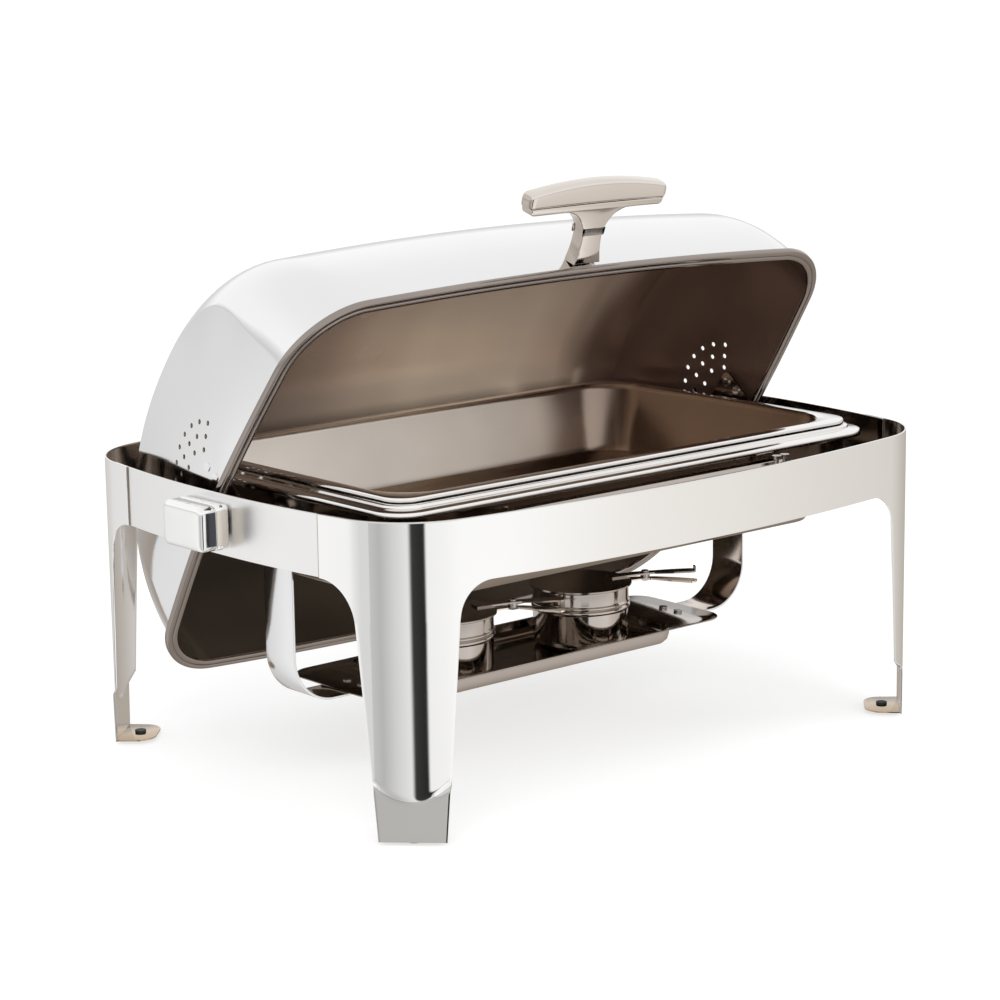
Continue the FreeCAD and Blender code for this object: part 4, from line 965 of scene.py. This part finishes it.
def cover():
    """Drawn cover wall with its creased ends, vent holes and satin inside."""
    walls = []
    for sign in (-1, 1):
        rings = end_wall_rings(sign)
        walls.append(skin(rings if sign > 0 else rings[::-1], closed=False))
    obj = piece("cover_wall", skin(roof_rings(), closed=False), [COVER_OUT, COVER_IN], "cover",
                stands_for=("cover_shell",), parts=walls, transform=COVER_TURN)
    merge(obj)
    thicken(obj, COVER_SHEET * MM, COVER_TURN @ COVER_INSIDE, sharp=COVER_SHARP)
    tool = drill_tool()
    cut = obj.modifiers.new("vents", "BOOLEAN")
    cut.operation = "DIFFERENCE"
    cut.object = tool
    cut.solver = "EXACT"
    cut.material_mode = "TRANSFER"
    bake(obj, COVER_SHARP)
    bpy.data.objects.remove(tool)


cover()

RIM_ROOF_STEPS = 24
RIM_SHOULDER_STEPS = 20
RIM_END_SHARES = (0.9, 0.75, 0.6, 0.45, 0.3, 0.15)
# Distance out from the outline and height over the rim's middle.
RIM_PROFILE = (
    (-2.2, -0.1), (-2.2, -2.1), (-1.5, -2.8), (-0.4, -3.0), (1.6, -3.0), (2.2, -2.7),
    (2.5, -2.0), (3.1, -2.0), (3.4, -2.7), (4.2, -3.0), (6.6, -3.0), (7.6, -2.6),
    (8.0, -1.8), (8.0, 2.0), (7.7, 2.7), (7.2, 3.0), (6.6, 2.6), (6.4, 0.0), (5.8, -0.1))


def rim_line():
    """Cover outline in the rim plane, all the way round."""
    points = [section(0.0, (COVER_HALF - END_ROUND) * step / RIM_ROOF_STEPS, 1.0)
              for step in range(RIM_ROOF_STEPS + 1)]
    points += [section(0.0, *shoulder(0.0, step / RIM_SHOULDER_STEPS))
               for step in range(1, RIM_SHOULDER_STEPS + 1)]
    edge = points[-1]
    points += [Vector((end_wall_x(edge, share), edge.y * share, edge.z))
               for share in RIM_END_SHARES]
    quarter = [Vector((p.x, p.y)) for p in points]
    middle = [Vector(((COVER_HALF + COVER_BULGE) * MM, 0.0))]
    right = quarter + middle + [Vector((p.x, -p.y)) for p in reversed(quarter)]
    return right + [Vector((-p.x, p.y)) for p in reversed(right[1:-1])]


def rim():
    """Rolled rim of the cover: flat land, groove and bead, swept round the outline."""
    line = rim_line()
    count = len(line)
    rings = []
    for i, spot in enumerate(line):
        tangent = (line[(i + 1) % count] - line[i - 1]).normalized()
        out = Vector((tangent.y, -tangent.x))
        if out.dot(spot) < 0:
            out = -out
        rings.append([
            Vector((spot.x + out.x * offset * MM, spot.y + out.y * offset * MM,
                    (RIM_LEVEL + height) * MM))
            for offset, height in RIM_PROFILE])
    rings.append(rings[0])
    obj = piece("cover_rolled_rim", skin(rings), RIM, "cover",
                stands_for=("cover_rim",), transform=COVER_TURN, sharp=50)
    merge(obj)
    tidy_normals(obj)


rim()

# ---------------------------------------------------------------- cover handle

HANDLE_LEAN = math.radians(18.0)
HANDLE_BASE = Vector((0.0, -213.12, 32.31)) * MM
STEM_AXIS = Vector((0.0, -math.cos(HANDLE_LEAN), math.sin(HANDLE_LEAN)))
STEM_LIFT = 1.6
HANDLE_TURN = (COVER_TURN @ Matrix.Translation(HANDLE_BASE + STEM_AXIS * STEM_LIFT * MM)
               @ Matrix.Rotation(math.pi / 2 - HANDLE_LEAN, 4, "X"))
BAR_HALF = 79.0
BAR_TOP = 75.5
BAR_ARCH = 8.0
BAR_BOTTOM = 53.0
BAR_DEPTH = 8.0
BAR_END_ROUND = 5.5
BAR_SQUARENESS = 3.6
BAR_STEPS = 60
OVAL_STEPS = 32
STEM_STEPS = 10
# Right half of the stem and of the ledge under the bar: x, height and corner radius.
STEM_OUTLINE = (
    (14.5, 0.0, 0), (10.2, 22.0, 70), (13.5, 49.0, 26), (75.5, 48.8, 4), (75.5, 56.5, 0))
# Inset of the stem's outline and place across the stem, over its rounded edges.
STEM_EDGES = ((1.6, -7.0), (0.5, -6.6), (0.0, -5.6), (0.0, 5.6), (0.5, 6.6), (1.6, 7.0))
BAR_END_FACING = 0.75
STEM_SIDE_FACING = 0.45
BACK_EDGE_FACING = 0.3


def squarish_oval(half_a, half_b, squareness):
    """Points of a squarish oval."""
    out = []
    for k in range(OVAL_STEPS):
        angle = math.tau * k / OVAL_STEPS
        out.append((half_a * power(math.cos(angle), 2 / squareness),
                    half_b * power(math.sin(angle), 2 / squareness)))
    return out


def handle_bar():
    """Long arched grip of the handle, full in the middle and rounded at its ends."""
    rings = []
    for step in range(BAR_STEPS + 1):
        share = 2 * step / BAR_STEPS - 1
        x = BAR_HALF * math.sin(share * math.pi / 2)
        into_end = max(0.0, (abs(x) - BAR_HALF + BAR_END_ROUND) / BAR_END_ROUND)
        inset = BAR_END_ROUND * (1 - math.sqrt(max(0.0, 1 - into_end ** 2)))
        top = BAR_TOP - BAR_ARCH * (x / BAR_HALF) ** 2
        half = (top - BAR_BOTTOM) / 2
        ring = squarish_oval(BAR_DEPTH - inset, half - inset, BAR_SQUARENESS)
        rings.append([Vector((x, a, BAR_BOTTOM + half + b)) * MM for a, b in ring])
    return skin(rings, caps=True)


def handle_stem():
    """Flared stem with the thin ledge that runs under the bar."""
    half = fillet_path(STEM_OUTLINE, STEM_STEPS)
    outline = half + [Vector((-p.x, p.y)) for p in reversed(half)]
    rings = [inset_outline(outline, inset, depth) for inset, depth in STEM_EDGES]
    return skin(rings, caps=True)


def inset_outline(outline, inset, depth):
    """Ring of an outline moved inwards, at a depth across the stem."""
    count = len(outline)
    ring = []
    for i, spot in enumerate(outline):
        tangent = (outline[(i + 1) % count] - outline[i - 1]).normalized()
        inward = Vector((-tangent.y, tangent.x))
        moved = spot + inward * inset
        ring.append(Vector((moved.x, depth, max(0.0, moved.y))) * MM)
    return ring


def cover_handle():
    """Cast handle; its ends, the back of its bar's top and the stem's sides carry a painted
    reflection in a darker tone.
    """
    bar = piece("handle_bar", handle_bar(), [HANDLE, HANDLE_SIDE], "cover",
                stands_for=("cover_handle",), transform=HANDLE_TURN, sharp=55)
    tidy_normals(bar)
    turn = HANDLE_TURN.to_3x3().normalized()
    up = turn @ Vector((0.0, 0.0, 1.0))
    back = turn @ Vector((0.0, 1.0, 0.0))
    use_second_material(bar, lambda face: abs(face.normal.x) > BAR_END_FACING)
    use_second_material(bar, lambda face: min(
        face.normal.dot(up), face.normal.dot(back)) > BACK_EDGE_FACING)
    stem = piece("handle_stem", handle_stem(), [HANDLE, HANDLE_SIDE], "cover",
                 transform=HANDLE_TURN, sharp=40)
    tidy_normals(stem)
    use_second_material(stem, lambda face: abs(face.normal.x) > STEM_SIDE_FACING)


cover_handle()

# ---------------------------------------------------------------- fuel straps and tray

STRAP_X = 267.95
STRAP_LOW = 72.0
STRAP_ROUND = 42.0
STRAP_END = 165.0
STRAP_SHEET = 2.0
STRAP_TOP = 256.0
STRAP_EDGE = 0.4
STRAP_STEPS = 24
INNER_FACE = 2
SIDES = (("left", -1), ("right", 1))


def strap_path(inset):
    """Side view of the strap's outer face, or of a face this far inside it."""
    return fillet_path([
        (STRAP_X - inset, STRAP_TOP, 0), (STRAP_X - inset, STRAP_LOW + inset, STRAP_ROUND - inset),
        (STRAP_END, STRAP_LOW + inset, 0)], STRAP_STEPS)


def fuel_strap(side, sign):
    """Bent strap that carries the tray, with softly rolled edges and a painted dark reflection on
    its inner face.
    """
    low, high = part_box(side + "_fuel_strap")
    rings = []
    for outer, inner in zip(strap_path(0.0), strap_path(STRAP_SHEET)):
        corners = ((outer, low.y), (outer, high.y), (inner, high.y), (inner, low.y))
        rings.append([Vector((sign * spot.x * MM, y, spot.y * MM)) for spot, y in corners])
    row = len(rings[0])
    obj = piece(side + "_strap", skin(rings, caps=True), [STRAP, STRAP_IN],
                "frame", stands_for=(side + "_fuel_strap",))
    use_second_material(obj, lambda face: face.index % row == INNER_FACE)
    tidy_normals(obj)
    soften(obj, STRAP_EDGE * MM)
    bake(obj)


for side, sign in SIDES:
    fuel_strap(side, sign)


def fuel_tray():
    """Pressed tray with a trough for the holders and a rolled rim."""
    top = TRAY_TOP
    rings = level_rings([
        (138, 48, 10, 60.1), (144, 54, 14, 60.9), (148, 58, 18, 64.5), (149.6, 59.6, 19.6, 69.5),
        (150, 60, 20, top - 1.6), (211.4, 61.4, 21.6, top - 1.5), (212, 62, 22, top - 1.0),
        (212, 62, 22, top - 0.4), (211.5, 61.5, 21.6, top), (150.4, 60.3, 20, top),
        (148.9, 58.9, 19, top - 0.6), (148.2, 58.2, 18.2, 69.5), (146.6, 56.6, 16.6, 65.2),
        (143.2, 53.2, 13.4, 62.4), (138, 48, 10, 61.6)])
    obj = piece("tray_pressing", skin(rings, caps=True), BRACKET, "frame",
                stands_for=("fuel_tray",), sharp=40)
    tidy_normals(obj)


fuel_tray()

# ---------------------------------------------------------------- fuel holders

CUP_X = 82.0
# Radius and height, up the outside and down the inside.
CUP_PROFILE = (
    (0.0, 0.0), (30.0, 0.0), (36.5, 0.3), (40.5, 2.0), (43.2, 5.2), (44.4, 9.5), (44.5, 34.2),
    (44.7, 35.1), (45.6, 36.0), (45.9, 37.2), (45.6, 38.3), (44.9, 38.9), (44.6, 39.4),
    (44.9, 39.9), (45.5, 40.5), (45.8, 41.3), (45.5, 42.2), (44.7, 43.0), (44.5, 44.0),
    (44.5, 54.6), (44.2, 55.5), (43.8, 55.9), (43.4, 55.5), (43.3, 54.6), (43.3, 9.7),
    (42.2, 6.0), (39.8, 3.2), (36.0, 1.6), (30.0, 1.2), (0.0, 1.2))


def fuel_cup(side, sign):
    """Spun cup with a rounded foot, a double bead and a rolled mouth."""
    place = Matrix.Translation(Vector((sign * CUP_X, 0.0, CUP_FLOOR)) * MM)
    obj = piece(side + "_cup", skin(lathe(CUP_PROFILE)), HOLDER, side + "_holder",
                stands_for=(side + "_fuel_cup",), transform=place, sharp=50)
    merge(obj)
    tidy_normals(obj)


for side, sign in SIDES:
    fuel_cup(side, sign)

# ---------------------------------------------------------------- CAD pieces that stay


def both(*names):
    """Names of the nodes that are on the left and on the right."""
    return [side + name for name in names for side in ("left_", "right_")]


CARRIED = {
    RUBBER: ["foot_bumpers"],
    NYLON: both("friction_washer"),
    # Painted dark reflection on the pan cradles and hinge plates.
    DARK_SIDE: both("pan_cradle", "cover_hinge_plate"),
    BRACKET: ["front_rail", "rail_tabs"],
    GRIP: both("cup_handle"),
    LID: both("fuel_lid"),
    COVER_OUT: ["cover_hinge_rivets"],
    FASTENER: [
        "rail_rivets", "pan_guide_pins", "hinge_nuts", "hinge_box_screws", "cover_handle_screws",
        "tray_rivets", *both("hinge_axle", "hinge_spacer", "lid_rivet")],
}
for material, names in CARRIED.items():
    for name in names:
        NODES[name].data.materials.clear()
        NODES[name].data.materials.append(material)

# ---------------------------------------------------------------- floor, light and camera

FLOOR_HALF = 30.0
FLOOR_CLOUD = 1.5
FLOOR_GLOW = 0.64
WORLD_STRENGTH = 1.05
HORIZON = (-0.14, 0.04)


def floor():
    """Large pale floor that glows a little, so that it comes out near white."""
    mesh = bpy.data.meshes.new("floor")
    corners = [(x * FLOOR_HALF, y * FLOOR_HALF, 0)
               for x, y in ((-1, -1), (1, -1), (1, 1), (-1, 1))]
    mesh.from_pydata(corners, [], [(0, 1, 2, 3)])
    obj = bpy.data.objects.new("floor", mesh)
    bpy.context.scene.collection.objects.link(obj)
    n = Nodes("pale_floor")
    n.tone(n.noise(FLOOR_CLOUD), [(0.3, 0.40), (0.7, 0.42)])
    n.shader.inputs["Roughness"].default_value = 0.9
    n.shader.inputs["Specular IOR Level"].default_value = 0.0
    n.shader.inputs["Emission Color"].default_value = (1.0, 1.0, 1.0, 1.0)
    n.shader.inputs["Emission Strength"].default_value = FLOOR_GLOW
    mesh.materials.append(n.material)
    obj.visible_glossy = False


floor()

# Tone by the direction round the room in degrees, and by the height from 0 to 1.
AROUND = [
    (-180, 0.56), (-167, 0.48), (-150, 0.66), (-133, 0.80), (-129, 0.04), (-114, 0.02),
    (-111, 0.90), (-90, 0.93), (-65, 1.0), (-50, (0.86, 0.83, 0.80)), (-32, (0.74, 0.71, 0.67)),
    (0, (0.56, 0.53, 0.49)), (48, (0.40, 0.35, 0.29)), (62, (0.58, 0.56, 0.54)),
    (90, (0.68, 0.67, 0.66)), (112, 0.82), (140, 0.96), (152, 0.92), (168, 0.70)]
ABOVE = [
    (0.0, 0.76), (0.06, 0.66), (0.13, 0.78), (0.24, 1.0), (0.5, 0.98), (0.75, 0.92), (1.0, 0.90)]


def studio_world():
    """White room: tones that change with the direction round the room and with the height."""
    world = bpy.data.worlds.new("studio")
    world.use_nodes = True
    bpy.context.scene.world = world
    tree = world.node_tree
    background = tree.nodes["Background"]
    x, y, z = coordinates(tree, "Generated")
    share = map_range(tree, maths(tree, "ARCTAN2", y, x), -math.pi, math.pi)
    low = ramp(tree, share, [((angle + 180) / 360, tone) for angle, tone in AROUND])
    high = ramp(tree, z, ABOVE)
    rise = map_range(tree, z, *HORIZON, kind="SMOOTHSTEP")
    tree.links.new(mix_colours(tree, rise, low, high), background.inputs["Color"])
    background.inputs["Strength"].default_value = WORLD_STRENGTH


studio_world()


def softbox(name, spot, aim, size, watts):
    """Area light that looks at a point."""
    data = bpy.data.lights.new(name, "AREA")
    data.shape = "RECTANGLE"
    data.size, data.size_y = size
    data.energy = watts
    obj = bpy.data.objects.new(name, data)
    obj.location = spot
    obj.rotation_euler = (Vector(aim) - Vector(spot)).to_track_quat("-Z", "Y").to_euler()
    obj.visible_glossy = False
    bpy.context.scene.collection.objects.link(obj)


MIDDLE = (0.0, 0.0, 0.25)
softbox("key", (-1.6, -1.2, 2.4), MIDDLE, size=(1.6, 1.2), watts=22.0)
softbox("fill", (2.0, -1.4, 1.8), MIDDLE, size=(1.4, 1.4), watts=12.0)
softbox("low_fill", (0.5, -2.3, 0.6), (0.1, 0.05, 0.4), size=(1.2, 0.7), watts=20.0)

CAMERA_YAW = math.radians(40.382)
CAMERA_PITCH = math.radians(11.712)
CAMERA_ROLL = math.radians(-0.826)
CAMERA_SPOT = Vector((-1.6166, -1.8838, 0.7231))
FOCAL = 2.81145
SENSOR = 36.0


def camera():
    """Camera at the photograph's viewing angle."""
    data = bpy.data.cameras.new("camera")
    data.sensor_width = SENSOR
    data.lens = FOCAL * SENSOR
    data.dof.use_dof = False
    obj = bpy.data.objects.new("camera", data)
    forward = Vector((math.sin(CAMERA_YAW) * math.cos(CAMERA_PITCH),
                      math.cos(CAMERA_YAW) * math.cos(CAMERA_PITCH), -math.sin(CAMERA_PITCH)))
    right = Vector((math.cos(CAMERA_YAW), -math.sin(CAMERA_YAW), 0.0))
    up = right.cross(forward)
    rolled_right = right * math.cos(CAMERA_ROLL) + up * math.sin(CAMERA_ROLL)
    rolled_up = up * math.cos(CAMERA_ROLL) - right * math.sin(CAMERA_ROLL)
    turn = Matrix((rolled_right, rolled_up, -forward)).transposed().to_4x4()
    obj.matrix_world = Matrix.Translation(CAMERA_SPOT) @ turn
    bpy.context.scene.collection.objects.link(obj)
    bpy.context.scene.camera = obj


camera()
bpy.context.scene.view_settings.view_transform = "Standard"
